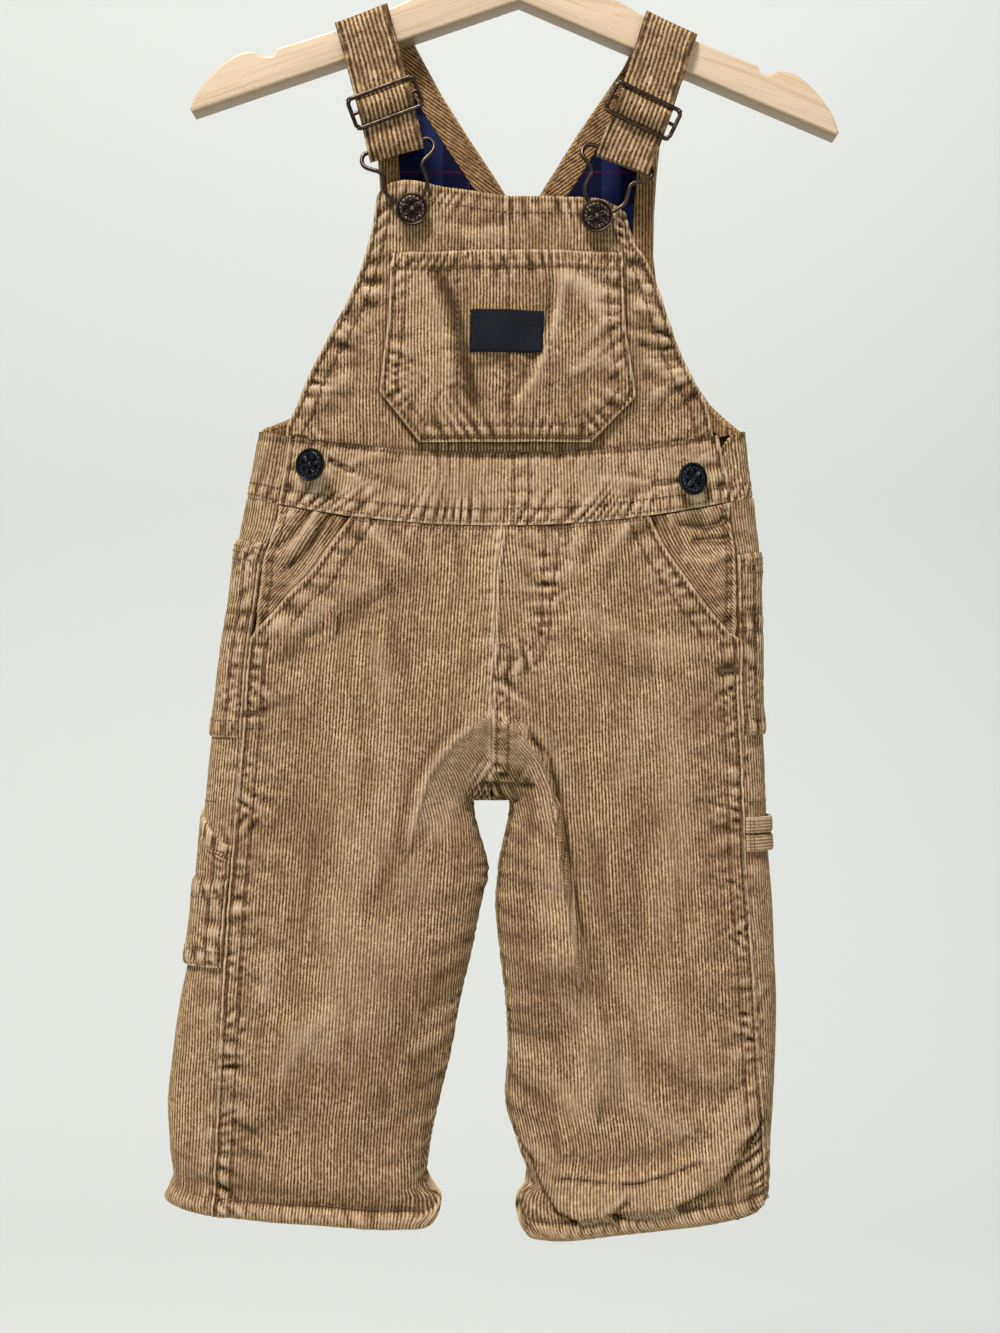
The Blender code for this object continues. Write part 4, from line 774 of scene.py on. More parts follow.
def threadMaterial(name):
    material, tree, shader = newMaterial(f"{name}_spun_thread")
    coordinates = addNode(tree, "TexCoord").outputs["Object"]
    twist = addNode(tree, "TexNoise", {"Scale": 2500.0, "Detail": 1.0}, {"Vector": coordinates})
    ramp = addNode(tree, "ValToRGB", {"stops": [(0.3, threadLook["shade"]), (0.62, threadLook[name])]},
                   {0: twist})
    setUp(tree, shader, {"Roughness": 0.6, "Sheen Weight": 0.2}, {"Base Color": ramp})
    return material


# Yarn-dyed brushed cotton twill, navy with a broken paler check and a fine red line. The twill's
# lines are 1.5 mm apart, coarser than the real 0.8 mm so that they show.
checkLook = {"navy": "#080a26", "pale": "#2c3866", "red": "#5c1730", "repeat": 42.0, "twill": 1.5,
             # mm within a repeat, across and along: a pale band's two edges and a red line
             "bands": [(6.0, 15.0, 27.0), (20.0, 30.0, 3.0)]}


def checkMaterial():
    look = checkLook
    material, tree, shader = newMaterial("navy_checked_twill")
    weave = addNode(tree, "Attribute", {"attribute_name": "weave"}).outputs["Vector"]
    split = addNode(tree, "SeparateXYZ", links={0: weave})
    diagonal = addNode(tree, "Math", {"operation": "ADD"}, {0: split, 1: split.outputs[1]})
    turns = addNode(tree, "Math", {"operation": "DIVIDE", 1: look["twill"]}, {0: diagonal})
    twill = addNode(tree, "Math", {"operation": "PINGPONG", 1: 0.5}, {0: turns})
    twillLine = addNode(tree, "MapRange", {"From Min": 0.24, "From Max": 0.4}, {"Value": twill})
    colour = None
    for axis, (bandLow, bandHigh, redAt) in enumerate(look["bands"]):
        wrapped = addNode(tree, "Math", {"operation": "WRAP", 1: look["repeat"], 2: 0.0},
                          {0: split.outputs[axis]})
        shown = twillLine
        for operation, limit in (("GREATER_THAN", bandLow), ("LESS_THAN", bandHigh)):
            within = addNode(tree, "Math", {"operation": operation, 1: limit}, {0: wrapped})
            shown = addNode(tree, "Math", {"operation": "MULTIPLY"}, {0: within, 1: shown})
        strength = addNode(tree, "Math", {"operation": "MULTIPLY", 1: 0.75}, {0: shown})
        pale = addNode(tree, "Mix", {"data_type": "RGBA", 6: linear(look["navy"]), 7: linear(look["pale"])},
                       {0: strength, **({6: colour} if colour else {})})
        redGap = addNode(tree, "Math", {"operation": "COMPARE", 1: redAt, 2: 0.45}, {0: wrapped})
        redShown = addNode(tree, "Math", {"operation": "MULTIPLY"}, {0: redGap, 1: twillLine})
        colour = addNode(tree, "Mix", {"data_type": "RGBA", 7: linear(look["red"])},
                         {0: redShown, 6: pale.outputs[2]}).outputs[2]
    fuzz = addNode(tree, "TexNoise", {"Scale": 3.0, "Detail": 2.0}, {"Vector": weave})
    rough = addNode(tree, "MapRange", {"To Min": 0.8, "To Max": 0.95}, {"Value": fuzz})
    bump = addNode(tree, "Bump", {"Strength": 0.4, "Distance": 0.0003}, {"Height": twill})
    setUp(tree, shader, {"Specular IOR Level": 0.1},
          {"Base Color": colour, "Roughness": rough, "Normal": bump})
    return material


checked = checkMaterial()
print("materials made")


def alongRows(point):
    # distance run along each row of points
    return np.cumsum(np.linalg.norm(np.diff(point, axis=1, prepend=point[:, :1]), axis=-1), axis=1)


def legGrid(side, v, startAngle, endAngle, grainAngle, samples=cloth["samples"]):
    # columns of even width in mm, counted from the grain line, cut off at the two edges
    if endAngle > 0:
        dense = np.linspace(0, math.pi, 300)[None, :] + 0 * v[:, None]
    else:
        dense = mix(math.pi / 2, -math.pi, np.linspace(0, 1, 420))[None, :] + 0 * v[:, None]
    x = skinX(side, dense, v[:, None])
    deep = np.where(dense > 0, curveThrough(frontDepth, v)[:, None], curveThrough(backDepth, v)[:, None])
    share = torsoShare(v[:, None], dense)
    y = -deep * mix(through(dense), through(dense / 2), share)
    arc = np.concatenate([np.zeros((len(v), 1)), np.cumsum(np.hypot(np.diff(x), np.diff(y)), axis=1)], axis=1)
    order = 1 if endAngle > 0 else -1
    w, angle = [], []
    starts, ends, zero = [], [], []
    for k in range(len(v)):
        turn = order * dense[k]
        zero.append(np.interp(order * grainAngle[k], turn, arc[k]))
        starts.append(np.interp(order * startAngle[k], turn, arc[k]) - zero[-1])
        ends.append(np.interp(order * endAngle, turn, arc[k]) - zero[-1])
    columns = waleColumns(min(starts), max(ends), samples)
    for k in range(len(v)):
        row = np.clip(columns, starts[k], ends[k])
        w.append(row)
        angle.append(np.interp(row + zero[k], arc[k], dense[k]))
    return np.array(w), np.array(angle)


def grainAngleOf(side, v):
    at, lean = side["grain"]
    return angleAt(side, at + lean * v, v)


def bartacks(panel, lines, rises):
    # dense short stitches, sewn over each other
    for line in lines:
        for up in rises:
            stitchRun(panel, panel.toCloth([(x, z + up) for x, z in line]), "tan", 1.3, 0.0, 0.3)


crotchRows = (-3.0, -1.2, -0.1, 0.1, 1.0)
# mesh rows: finer below this level, mm between the rows below and above it
legRows = {"front": (-140, 1.3, 2.35), "back": (-160, 1.8, 3.4)}
# mm from the edges: rows of stitches beside the outseam and the slanted opening, in the hem, under the
# waistband, at the fly and at the centre back
legSewing = {"first": 2.2, "second": 8.2, "slant": 9.4, "hem": 8.2, "waist": 1.6, "fly": 7.4,
             "seat": (1.8, 8.0)}
flyLines = [[(21.1, 124.8), (20.0, 108), (19.2, 92), (19.4, 84), (18.0, 77), (13.6, 70.9), (7, 66.4),
             (-0.5, 65.8)], [(27.7, 124.8), (25.6, 108), (23.3, 92), (22.9, 80), (21.4, 72.3), (18.8, 67),
                             (13.6, 62), (7, 58.7), (-2.4, 57.3)]]
crotchSeam = [(-13, 6.4), (-5, 8.2), (6, 8.8), (15, 8.6)]
slantBox = {"right": [[(-117.5, 41.0), (-108.5, 40.2)]], "left": [[(101.0, 60.5), (110.0, 60.3)]]}
# wrinkles that fan out below the waistband where the buttonholes pull
pullCreases = {
    "right": [([(-70, 126), (-58, 112), (-50, 96)], -0.8), ([(-62, 127), (-50, 116), (-40, 110)], 0.8),
              ([(-48, 124), (-40, 112)], -0.8), ([(-34, 124), (-31, 108)], 0.7),
              ([(-20, 124), (-19, 110)], -0.7)],
    "left": [([(66, 127), (56, 114), (48, 100)], -0.8), ([(58, 126), (48, 114)], 0.8),
             ([(44, 124), (38, 110)], -0.8), ([(74, 124), (84, 112), (90, 98)], 0.7),
             ([(34, 122), (32, 106)], 0.7)],
}


def legLevels(key):
    fine, below, above = legRows[key]
    return np.unique(np.concatenate([np.arange(hem, fine, below), np.arange(fine, waist, above), crotchRows,
                                     [waist]]))


def sewHemAndTop(panel, seed):
    # the turned-up band stands proud of a puckered row of stitches, and the top is sewn to the waistband
    panel.groove(panel.fromLow - legSewing["hem"], 1.0, 0.9, 1.0)
    panel.ridge(panel.fromLow - 4.0, 1.1, 3.2, 0.2)
    panel.pucker(panel.fromLow, panel.w, 1.0, 8.0, 0.5, 6.2, seed + 3, 0.4, reach=0.5)
    panel.hemEdge(panel.fromLow, 0.7, 1.2)
    panel.pucker(panel.fromTop, panel.w, 0.4, 1.5, 0.6, 6.6, seed + 7, 0.6)


def frontLeg(side):
    v = legLevels("front")
    seam = seamAngle(side, v) + 0.002
    slant = np.where(v > 76, angleAt(side, curveThrough(side["slant"], v), v), 0)
    w, angle = legGrid(side, v, np.maximum(seam, slant), math.pi * 0.99999, grainAngleOf(side, v))
    levels = v[:, None] + 0 * w
    point, normal = bodyPoint(side, angle, legLevel(side, angle, levels))
    panel = Panel(f"front_{side['name']}_leg", w, levels, point, normal)
    x, z = point[..., 0], point[..., 2]
    seed = 1.0 if side is right else 4.0
    # painted light and shade from the folds and creases: rises paler, hollows and creases darker
    panel.tone += 0.34 * foldHeight(side["creases"], x, z)
    panel.tone += 0.09 * np.clip(foldHeight(side["folds"], x, z), -4, 1.6)
    onSlant = smooth(72, 79, levels)
    first, second = legSewing["first"], legSewing["second"]
    panel.pucker(panel.fromStart, levels, 1.8, 8.2, 0.95, 5.2, seed, 1.15, 1 - onSlant)
    panel.pucker(panel.fromStart, levels * 1.35, 2.2, 9.0, 0.95, 8.4, seed + 2, 0.95, onSlant)
    panel.seam(panel.fromStart - first)
    panel.seam(panel.fromStart - mix(second, legSewing["slant"], onSlant))
    panel.lift += 0.55 * smooth(9.5, 7.5, panel.fromStart)
    panel.cordEdge(panel.fromStart)
    # the stitched box at the foot of the slanted opening
    for line in slantBox[side["name"]]:
        panel.groove(lineDistance(x, z, line)[0], 0.7, 1.0, 1.5)
    overCrotch = smooth(-2, 14, levels)
    inseam = 5.5 if side is left else first
    panel.pucker(panel.fromEnd, levels, 0.5, 6.0, 0.7, 6.0, seed + 5, 0.7, 1 - overCrotch)
    panel.seam(panel.fromEnd - inseam + 40 * overCrotch)
    if side is left:
        panel.cordEdge(panel.fromEnd + 60 * (1 - overCrotch))
        for line in flyLines:
            panel.seam(lineDistance(x, z, line)[0])
        away, run, hand = lineDistance(x, z, flyLines[1])
        panel.pucker(-hand * away, run, 0.0, 6.5, 1.0, 5.0, 2.6, 1.1)
        panel.pucker(hand * away, run, 0.4, 1.0, 0.8, 5.0, 2.6, 0.9)
        double = smooth(9, 13, levels) * smooth(59, 55, levels)
        panel.pucker(panel.fromEnd, levels, 1.0, 7.4, 1.0, 4.6, 3.3, 1.1, double)
        panel.seam(panel.fromEnd - legSewing["fly"] + 40 * (1 - double))
    else:
        panel.ridge(panel.fromEnd - 0.8, 0.35, 1.0, 0.5)
        panel.pucker(panel.fromEnd, levels, 0.3, 1.6, 0.6, 5.8, 3.9, 0.6, overCrotch)
    # stitched crease at the crotch darkened with painted shade, with the seam's lumps under it given painted
    # highlight on their tops and painted shade between and below
    away = lineDistance(x, levels, crotchSeam)[0]
    panel.groove(away, 2.2, 0.9, 1.3)
    middle = smooth(14.5, 10.5, np.abs(x + 3.5))
    under = smooth(8.4, 6.8, levels) * smooth(-0.5, 0.5, levels) * middle
    lumps = ripple(x + 0.4 * levels, 4.2, 1.1)
    panel.lift += under * (1.3 * lumps - 1.4)
    panel.tone += under * (1.0 * lumps - 0.2 - 0.6 * smooth(5, 0, levels))
    above = smooth(26, 11, levels) * smooth(7.4, 9.0, levels) * smooth(18, 10, np.abs(x - 1))
    lumps = ripple(x - 0.7 * levels, 5.4, 2.4)
    panel.lift += 1.1 * above * lumps
    panel.tone += 0.8 * above * lumps
    # the inner thighs lie in the garment's own shade
    panel.tone -= 0.5 * smooth(11, 1, panel.fromEnd) * smooth(1, -3, levels) * smooth(-70, -10, levels)
    sewHemAndTop(panel, seed)
    panel.groove(panel.fromTop - 0.3, 0.4, 0.8, 1.0)
    for line, height in pullCreases[side["name"]]:
        away = lineDistance(x, z, line)[0]
        # painted highlight on the rising creases and painted shade in the sunken ones
        panel.ridge(away, height, 1.8, 0.4 * np.sign(height))
    carried = waleTurn(side, x, z)
    panel.finish(corduroy, grain=lambda w, v: (w + carried, v))
    panel.stitchSides((first, second), startEdge, None, 70)
    panel.stitchSides((first,), startEdge, 78)
    panel.stitchSides((legSewing["slant"],), startEdge, 79)
    panel.stitchSides((inseam,), endEdge, None, -4)
    panel.stitchLevels((hem + legSewing["hem"], waist - legSewing["waist"]))
    stitchRun(panel, panel.toCloth(crotchSeam))
    bartacks(panel, slantBox[side["name"]], (0.0, 0.6))
    if side is left:
        panel.stitchSides((first, legSewing["fly"]), endEdge, 12, 57)
        panel.stitchSides((first,), endEdge, 58, waist - 2)
    return panel


def backLeg(side):
    v = legLevels("back")
    seam = seamAngle(side, v)
    w, angle = legGrid(side, v, seam - 0.002, -math.pi * 0.99999, seam, 3)
    levels = v[:, None] + 0 * w
    point, normal = bodyPoint(side, angle, legLevel(side, angle, levels))
    panel = Panel(f"back_{side['name']}_leg", w, levels, point, normal)
    seed = 2.0 if side is right else 6.0
    # painted light and shade from the back's folds
    panel.tone += 0.09 * foldHeight(side["backFolds"], point[..., 0], point[..., 2])
    panel.pucker(panel.fromStart, levels, 0.5, 3.0, 0.7, 5.8, seed, 0.75)
    panel.groove(panel.fromStart - 0.2, 0.3, 0.7, 0.6)
    for inset in legSewing["seat"]:
        panel.seam(panel.fromEnd - inset)
    panel.pucker(panel.fromEnd, levels, 1.0, 8.0, 0.7, 6.2, seed + 2, 0.75)
    sewHemAndTop(panel, seed)
    panel.finish(corduroy)
    panel.stitchLevels((hem + legSewing["hem"],))
    panel.stitchSides(legSewing["seat"], endEdge)
    return panel


frontPanels = {side["name"]: frontLeg(side) for side in (right, left)}
backPanels = {side["name"]: backLeg(side) for side in (right, left)}
for name in ("right", "left"):
    frontPanels[name].standFor(f"front_leg_{name}", "hung", "waistband_front")
    backPanels[name].standFor(f"back_leg_{name}", "hung", "waistband_back")
print("legs made")

# pocket facings, seen behind the slanted pocket openings; each fold: line, height, half-width,
# paler or darker by painted light and shade
facing = {
    "drop": 2.4, "hidden": 9.0, "low": 72.0, "wall": 1.0, "stitches": 3.9,
    "folds": {
        "right": [([(-73, 136), (-79.5, 128), (-85.5, 118), (-92, 109), (-99, 103.5)], -2.2, 1.0, -1.0),
                  ([(-77, 138), (-84, 130), (-90, 119.5), (-97, 110)], 1.7, 2.2, 0.45),
                  ([(-81, 138), (-88, 129), (-94, 119.5), (-102, 112)], -1.4, 1.2, -0.7),
                  ([(-92, 134), (-98, 124), (-105, 116)], 1.3, 2.4, 0.35),
                  ([(-82, 113), (-90, 102), (-98, 93)], 1.2, 2.4, 0.35)],
        "left": [([(84, 124), (96, 121), (106, 122)], -1.2, 1.4, -0.8),
                 ([(82, 130), (94, 128), (106, 129)], 1.0, 2.2, 0.3),
                 ([(90, 115.5), (106, 114.5)], -1.6, 1.2, -1.0),
                 ([(86, 108), (98, 106), (106, 108)], 1.1, 2.2, 0.3)],
    },
}


def pocketFacing(side):
    v = np.linspace(facing["low"], waist - 0.5, 42)
    start = seamAngle(side, v) + 0.01
    end = angleAt(side, curveThrough(side["slant"], v) + side["sign"] * facing["hidden"], v)
    columns = np.linspace(0, 1, 90)
    levels = v[:, None] + 0 * columns
    angle = mix(start[:, None], end[:, None], columns[None, :])
    point, normal = bodyPoint(side, angle, legLevel(side, angle, levels))
    w = alongRows(point)
    w = (w - w[:, -1:]) + 60
    slantGap = (curveThrough(side["slant"], levels) - point[..., 0]) * side["sign"]
    # level with the outseam, and under the front's folded edge at the slanted opening
    drop = mix(0.5, facing["drop"], smooth(9, 2, slantGap))
    panel = Panel(f"{side['name']}_pocket_facing", w, levels, point - normal * drop[..., None], normal)
    # a loose fold beside the opening, and the shadowed hollow next to it
    for line, height, width, tone in facing["folds"][side["name"]]:
        away = lineDistance(point[..., 0], levels, line)[0]
        panel.ridge(away, 1.2 * height, width, 1.3 * tone)
    # a painted shadow under the front's folded edge at the opening
    panel.groove(slantGap, 0.2, 1.6, 0.5)
    panel.pucker(panel.fromStart, levels, 1.6, 4.0, 0.7, 5.8, 3.0, 0.75)
    panel.seam(panel.fromStart - facing["stitches"])
    panel.cordEdge(panel.fromStart)
    panel.pucker(panel.fromTop, w, 0.4, 1.5, 0.6, 6.6, 2.0, 0.6)
    panel.tone -= 0.08
    panel.finish(corduroy, wall=facing["wall"])
    panel.stitchSides((facing["stitches"],), startEdge)
    panel.standFor(f"pocket_facing_{side['name']}", "hung", f"front_leg_{side['name']}")


for side in (right, left):
    pocketFacing(side)

# pockets, tool pocket and hammer loop, sewn on the backs beside the outseams: rows of stitches from
# the edges, levels of those across, and gold ones below the top
patch = {"lying": 0.3, "wall": 1.2, "gap": 0.25, "rows": (1.4, 7.6), "across": (77.0, 83.5),
         "gold": (2.2, 4.4)}
toolPocket = {"low": -76.0, "split": -36.7, "high": -4.5, "rake": 15.5}


def sidePatch(name, side, low, high, toAngle, bow=0.0, flatWales=False, rake=0.0):
    step = 0.47 if flatWales else 2.2  # wales that lie across need closer rows
    v = np.linspace(low, high, int((high - low) / step) + 2)
    drop = rake * smooth(high - 26, high, v)  # a raked top edge falls towards the outseam
    start = angleAt(side, curveThrough(side["outseam"], v - drop) - side["sign"] * patch["gap"], v - drop)
    if flatWales:
        angle = mix(start[:, None], toAngle, np.linspace(0, 1, 60)[None, :])
        levels = v[:, None] + 0 * angle
        w = alongRows(bodyPoint(side, angle, legLevel(side, angle, levels))[0])
    else:
        w, angle = legGrid(side, v, start, toAngle, seamAngle(side, v))
        levels = v[:, None] + 0 * angle
    share = (w - w[:, :1]) / (w[:, -1:] - w[:, :1])
    raked = levels - drop[:, None] * (1 - smooth(0, 0.34, share))
    point, normal = bodyPoint(side, angle, legLevel(side, angle, raked))
    lift = patch["lying"] + patch["wall"] + bow * np.sin(math.pi * share)
    return Panel(name, w, levels, point + normal * lift[..., None], normal)


def sewPatchEdges(panel, seed):
    first, second = patch["rows"]
    for inset in patch["rows"]:
        for away in panel.edges[:3]:
            panel.seam(away - inset, 1.1)
    panel.pucker(panel.fromStart, panel.v, first, second, 0.7, 5.2, seed, 0.9)
    panel.pucker(panel.fromEnd, panel.v, first, second, 0.7, 5.6, seed + 3, 0.85)
    panel.pucker(panel.fromLow, panel.w, first, second, 0.7, 5.4, seed + 1, 0.95)
    panel.seam(panel.fromTop - second, 1.2)
    panel.pucker(panel.fromTop, panel.w, 1.0, second, 0.6, 5.4, seed + 2, 0.85)
    for away in panel.edges:
        panel.hemEdge(away, 0.7, 1.2)


for side, name, low, high, seed in ((right, "right", 30, 112, 1.0), (left, "left", 31, 107, 3.0)):
    panel = sidePatch(f"{name}_back_pocket", side, low, high, -2.3)
    sewPatchEdges(panel, seed)
    for level in patch["across"]:
        panel.seam(panel.v - level, 1.4)
    fromRow = panel.v - patch["across"][0]
    panel.pucker(fromRow, panel.w, 0.3, 6.5, 0.6, 6.0, seed + 4, 0.7)
    panel.pucker(-fromRow, panel.w, 0.3, 1.0, 0.6, 6.0, seed + 4, 0.6)
    panel.finish(corduroy, wall=patch["wall"])
    first, second = patch["rows"]
    panel.stitchLevels((*patch["across"], high - second, low + first, low + second), 0.8)
    panel.stitchSides(patch["rows"])
    for inset in patch["gold"]:
        stitchRun(panel, panel.level(high - inset)[:14], "gold", 1.6, 0.05)
    panel.standFor(f"back_pocket_{name}", "hung", f"back_leg_{name}")

panel = sidePatch("right_tool_pocket", right, toolPocket["low"], toolPocket["high"], -1.35,
                  rake=toolPocket["rake"])
sewPatchEdges(panel, 2.0)
# a second, lower pocket lies on it
lowerPocket = panel.v - toolPocket["split"]
panel.lift += 1.2 * smooth(0.4, -0.6, lowerPocket)
# a furrow of painted shade above the lower pocket's edge and a painted highlight along the edge
panel.groove(lowerPocket - 0.9, 0.2, 0.9, 1.5)
panel.ridge(lowerPocket + 1.0, 0.25, 1.0, 0.8)
panel.pucker(-lowerPocket, panel.w, first, second, 0.6, 5.2, 6.4, 0.8)
panel.groove(lowerPocket + second, 0.4, 0.8, 1.1)
panel.ridge(panel.fromTop - 1.0, 0.3, 0.9, 0.7)
panel.finish(corduroy, wall=patch["wall"])
panel.stitchLevels((toolPocket["split"] - second, toolPocket["low"] + first, toolPocket["low"] + second), 0.8)
panel.stitchSides(patch["rows"])
panel.standFor("tool_pocket_right", "hung", "back_leg_right")

panel = sidePatch("left_hammer_loop", left, -23, -7, -1.35, 1.8, True)
panel.groove(np.abs(panel.v + 15), 0.9, 0.9, 1.0)  # along the loop's middle
panel.tone += 0.35
for away in panel.edges:
    panel.hemEdge(away, 0.7, 1.3)
panel.finish(corduroy, wall=patch["wall"], grain=lambda w, v: (v, w))
panel.stitchSides((1.3, 3.2), startEdge, length=1.6, gap=0.1)
panel.standFor("hammer_loop_left", "hung", "back_leg_left")

# waistbands: rows of stitches, the fly's two seams, and where the back one's ends tuck under the front
band = {"lowStitch": 1.9, "highStitch": 7.6, "topStitch": 31.4, "endStitch": 2.4, "height": 33.0, "rows": 20,
        "fly": (2.6, 9.6), "tuck": {"right": -76.0, "left": 78.0}, "lean": 4.6, "sag": 0.24, "tucked": 2.6}
# buttonholes as (w, v) on the front band, and the wrinkles they pull: direction, reach, height
buttonholes = {"right": [(-82.4, 24.4), (-70.6, 20.6)], "left": [(67.7, 14.6), (81.0, 14.2)]}
holePulls = ((0.35, 22, -0.8), (0.75, 18, 0.7), (2.5, 20, -0.8), (2.85, 24, 0.7), (-0.4, 26, -0.8),
             (-0.9, 16, 0.7), (3.5, 18, -0.7), (-2.2, 14, 0.6))


def bandPoint(side, angle, share):
    x = skinX(side, angle, waistMid)
    return bodyPoint(side, angle, mix(waistLow(x) + 0.15, waistTop(x) - 0.15, share))


def bandPanel(name, front):
    halves = []
    for side in (right, left):
        seam = float(seamAngle(side, 136.0))
        if front:
            dense = np.linspace(seam + (0.01 if side is right else -0.08), math.pi, 600)
        else:
            dense = np.linspace(float(angleAt(side, band["tuck"][side["name"]], waistMid)), -math.pi, 900)
        arc = runAlong(skin(side, dense, waistMid))
        halves.append((side, seam, dense, arc - arc[-1]))
    start, end = halves[0][3][0], -halves[1][3][0]
    columns = np.clip(waleColumns(start, end), start, end)
    share = np.linspace(0, 1, band["rows"])[:, None]
    # at the wearer's left side opening the front's end leans in towards the bib, and the back's top sags
    w = np.minimum(columns[None, :] + 0 * share, end - (band["lean"] * share if front else 0))
    point, normal = np.zeros((2, band["rows"], len(columns), 3))
    edge = np.zeros(len(columns))
    for (side, seam, dense, arc), mine, turn in zip(halves, (columns <= 0, columns > 0), (1, -1)):
        angle = np.interp(turn * w[:, mine], arc, dense)
        sags = band["sag"] if side is left and not front else 0
        sag = sags * smooth(113.5, 102.5, skinX(side, angle, waistMid)) * (angle > 0)
        point[:, mine], normal[:, mine] = bandPoint(side, angle, share * (1 - sag))
        edge[mine] = smooth(seam - 0.45, seam - 0.12, angle[0])
    if not front:
        point = point - normal * (edge * band["tucked"])[None, :, None]
    return Panel(name, w, share * band["height"] + 0 * w, point, normal)


panel = bandPanel("front_waistband", True)
slanted = panel.w - 0.6 * panel.v
panel.seam(panel.fromLow - band["highStitch"], 1.4)
panel.pucker(panel.fromLow, slanted, 1.9, 7.6, 1.1, 5.6, 2.2, 1.15)
panel.cordEdge(panel.fromLow)
panel.ridge(panel.fromLow - 1.0, 0.25, 0.9, 0.5)
panel.groove(panel.fromLow - 2.6, 0.25, 0.7, 0.7)
panel.joinSeam(panel.fromTop)
panel.seam(panel.fromTop - 1.6, 0.7)
for away in panel.sides:
    panel.cordEdge(away)
    panel.seam(away - band["endStitch"])
    panel.pucker(away, panel.v, 2.0, 5.0, 0.6, 6.0, 7.0, 0.7)
panel.tone += 0.16
# the fly's layers run up behind the band
fromFly = panel.w - band["fly"][0]
panel.lift += 0.5 * smooth(-0.5, 0.6, fromFly) * smooth(11.2, 10.2, panel.w)
for at in band["fly"]:
    panel.seam(panel.w - at - 1.2)
panel.pucker(fromFly, panel.v, 1.2, 8.2, 0.7, 5.4, 1.9, 0.7)
panel.pucker(-fromFly, panel.v, 0.2, 1.0, 0.6, 5.4, 1.9, 0.6)
for hole in buttonholes.values():
    away = lineDistance(panel.w, panel.v, hole)[0]
    # the slit in painted shade; its pulled wrinkles with painted highlight on rises and painted shade in dips
    panel.groove(away, 1.2, 0.8, 1.3)
    panel.ridge(away - 1.9, 0.35, 0.9, 0.2)
    middle, level = np.mean(hole, axis=0)
    for turn, reach, height in holePulls:
        start = np.array([middle + 7.5 * math.cos(turn), level + 3 * math.sin(turn)])
        end = start + (reach * math.cos(turn), reach * 0.6 * math.sin(turn))
        away, run, _ = lineDistance(panel.w, panel.v, [tuple(start), tuple(end)])
        panel.ridge(away, height * (1 - 0.6 * run / reach), 1.5, 0.5 * math.copysign(1, height))
panel.finish(corduroy)
panel.stitchLevels((band["lowStitch"], band["highStitch"], band["topStitch"]))
panel.stitchSides((band["endStitch"],))
for at in band["fly"]:
    stitchRun(panel, [(at + 1.2, 2.0), (at + 1.2, 32.0)])
for (low, start), (high, end) in buttonholes.values():
    for k in np.arange(low, high, 0.62):
        for up in (0.4, -1.7):
            level = mix(start, end, (k - low) / (high - low)) + up
            stitchRun(panel, [(k, level), (k, level + 1.6)], "tan", 1.2, 0.2, 0.22)
panel.standFor("waistband_front", "hung", "bib_front")

panel = bandPanel("back_waistband", False)
# a rolled top edge where the back band comes round to the side openings
rolled = panel.fromTop + 60 * (panel.point[..., 1] > 3)
panel.ridge(rolled - 0.9, 0.4, 0.9, 0.7)
panel.groove(rolled - 3.2, 0.3, 0.8, 0.7)
panel.seam(panel.fromLow - band["highStitch"], 0.9)
panel.pucker(panel.fromLow, panel.w + 0.5 * panel.v, 1.9, 7.6, 0.8, 6.2, 4.2, 0.8)
panel.cordEdge(panel.fromLow)
panel.joinSeam(panel.fromTop)
panel.seam(panel.fromTop - 1.6, 0.7)
panel.finish(corduroy)
panel.stitchLevels((band["lowStitch"], band["highStitch"]))
panel.standFor("waistband_back", "hung", "back_bib")
print("waistbands made")

# bib: its start edge is at the wearer's right
bib = {
    "rows": (2.2, 8.0), "topRow": 7.6,
    "start": table((160, -99.5), (170.4, -98.6), (178.7, -94.9), (197.7, -88), (220.9, -76.9), (244.3, -66.8),
                   (267.7, -59.9), (284, -57)),
    "end": table((160, 99.5), (166.2, 98.6), (184.7, 94.9), (196.3, 89.4), (220.9, 80.6), (244.3, 73.7),
                 (260.7, 67.8), (270.5, 61.8), (284, 58.5)),
    "edge": table((-60, 279), (-52.1, 287.1), (-23.2, 285.2), (2.3, 281.5), (27.9, 281), (52, 278.2),
                  (60, 272)),
    "folds": [(2.0, 9, 9, [(-76, 214), (-72, 190), (-68, 172)]),
              (-1.6, 9, 9, [(76, 214), (74, 190), (70, 170)])],
    "creases": [(-1.1, 1.6, 3.2, [(-24, 270.5), (-10, 268.5), (2, 270.5)]),
                (0.8, 3, 4, [(-28, 267), (-14, 263.5), (0, 265)]), (-0.7, 3, 5, [(-20, 262), (-16, 254)]),
                (0.9, 3, 4, [(-88, 186), (-72, 196)]), (-0.8, 3, 4, [(-84, 180), (-70, 188)]),
                (0.8, 3, 4, [(86, 200), (72, 190)]), (-0.8, 3, 4, [(90, 186), (74, 180)]),
                (0.7, 4, 4, [(66, 240), (74, 216)])],
}
# creases that run in from the sewn armhole edges: start x and level, end x and level, height
for x1, z1, x2, z2, height in ((62, 251, 73, 240, -1.5), (61, 245, 76, 232, 1.1), (62, 239, 78, 226, -1.3),
                               (65, 230, 80, 219, 1.1), (66, 224, 83, 213, -1.4), (66, 212, 86, 203, -1.1),
                               (68, 204, 88, 196, 1.0), (68, 197, 90, 188, -1.2), (-68, 246, -54, 249, -1.1),
                               (-71, 237, -55, 242, -1.2), (-74, 231, -57, 238, 1.0),
                               (-76, 224, -58, 230, -1.3), (-79, 216, -62, 221, 0.9),
                               (-82, 208, -64, 213, -1.1), (-86, 199, -66, 202, -1.0)):
    bib["creases"].append((height, 2.0, 2.4, [(x1, z1), (x2, z2)]))
ringX = np.linspace(-108, 108, 217)


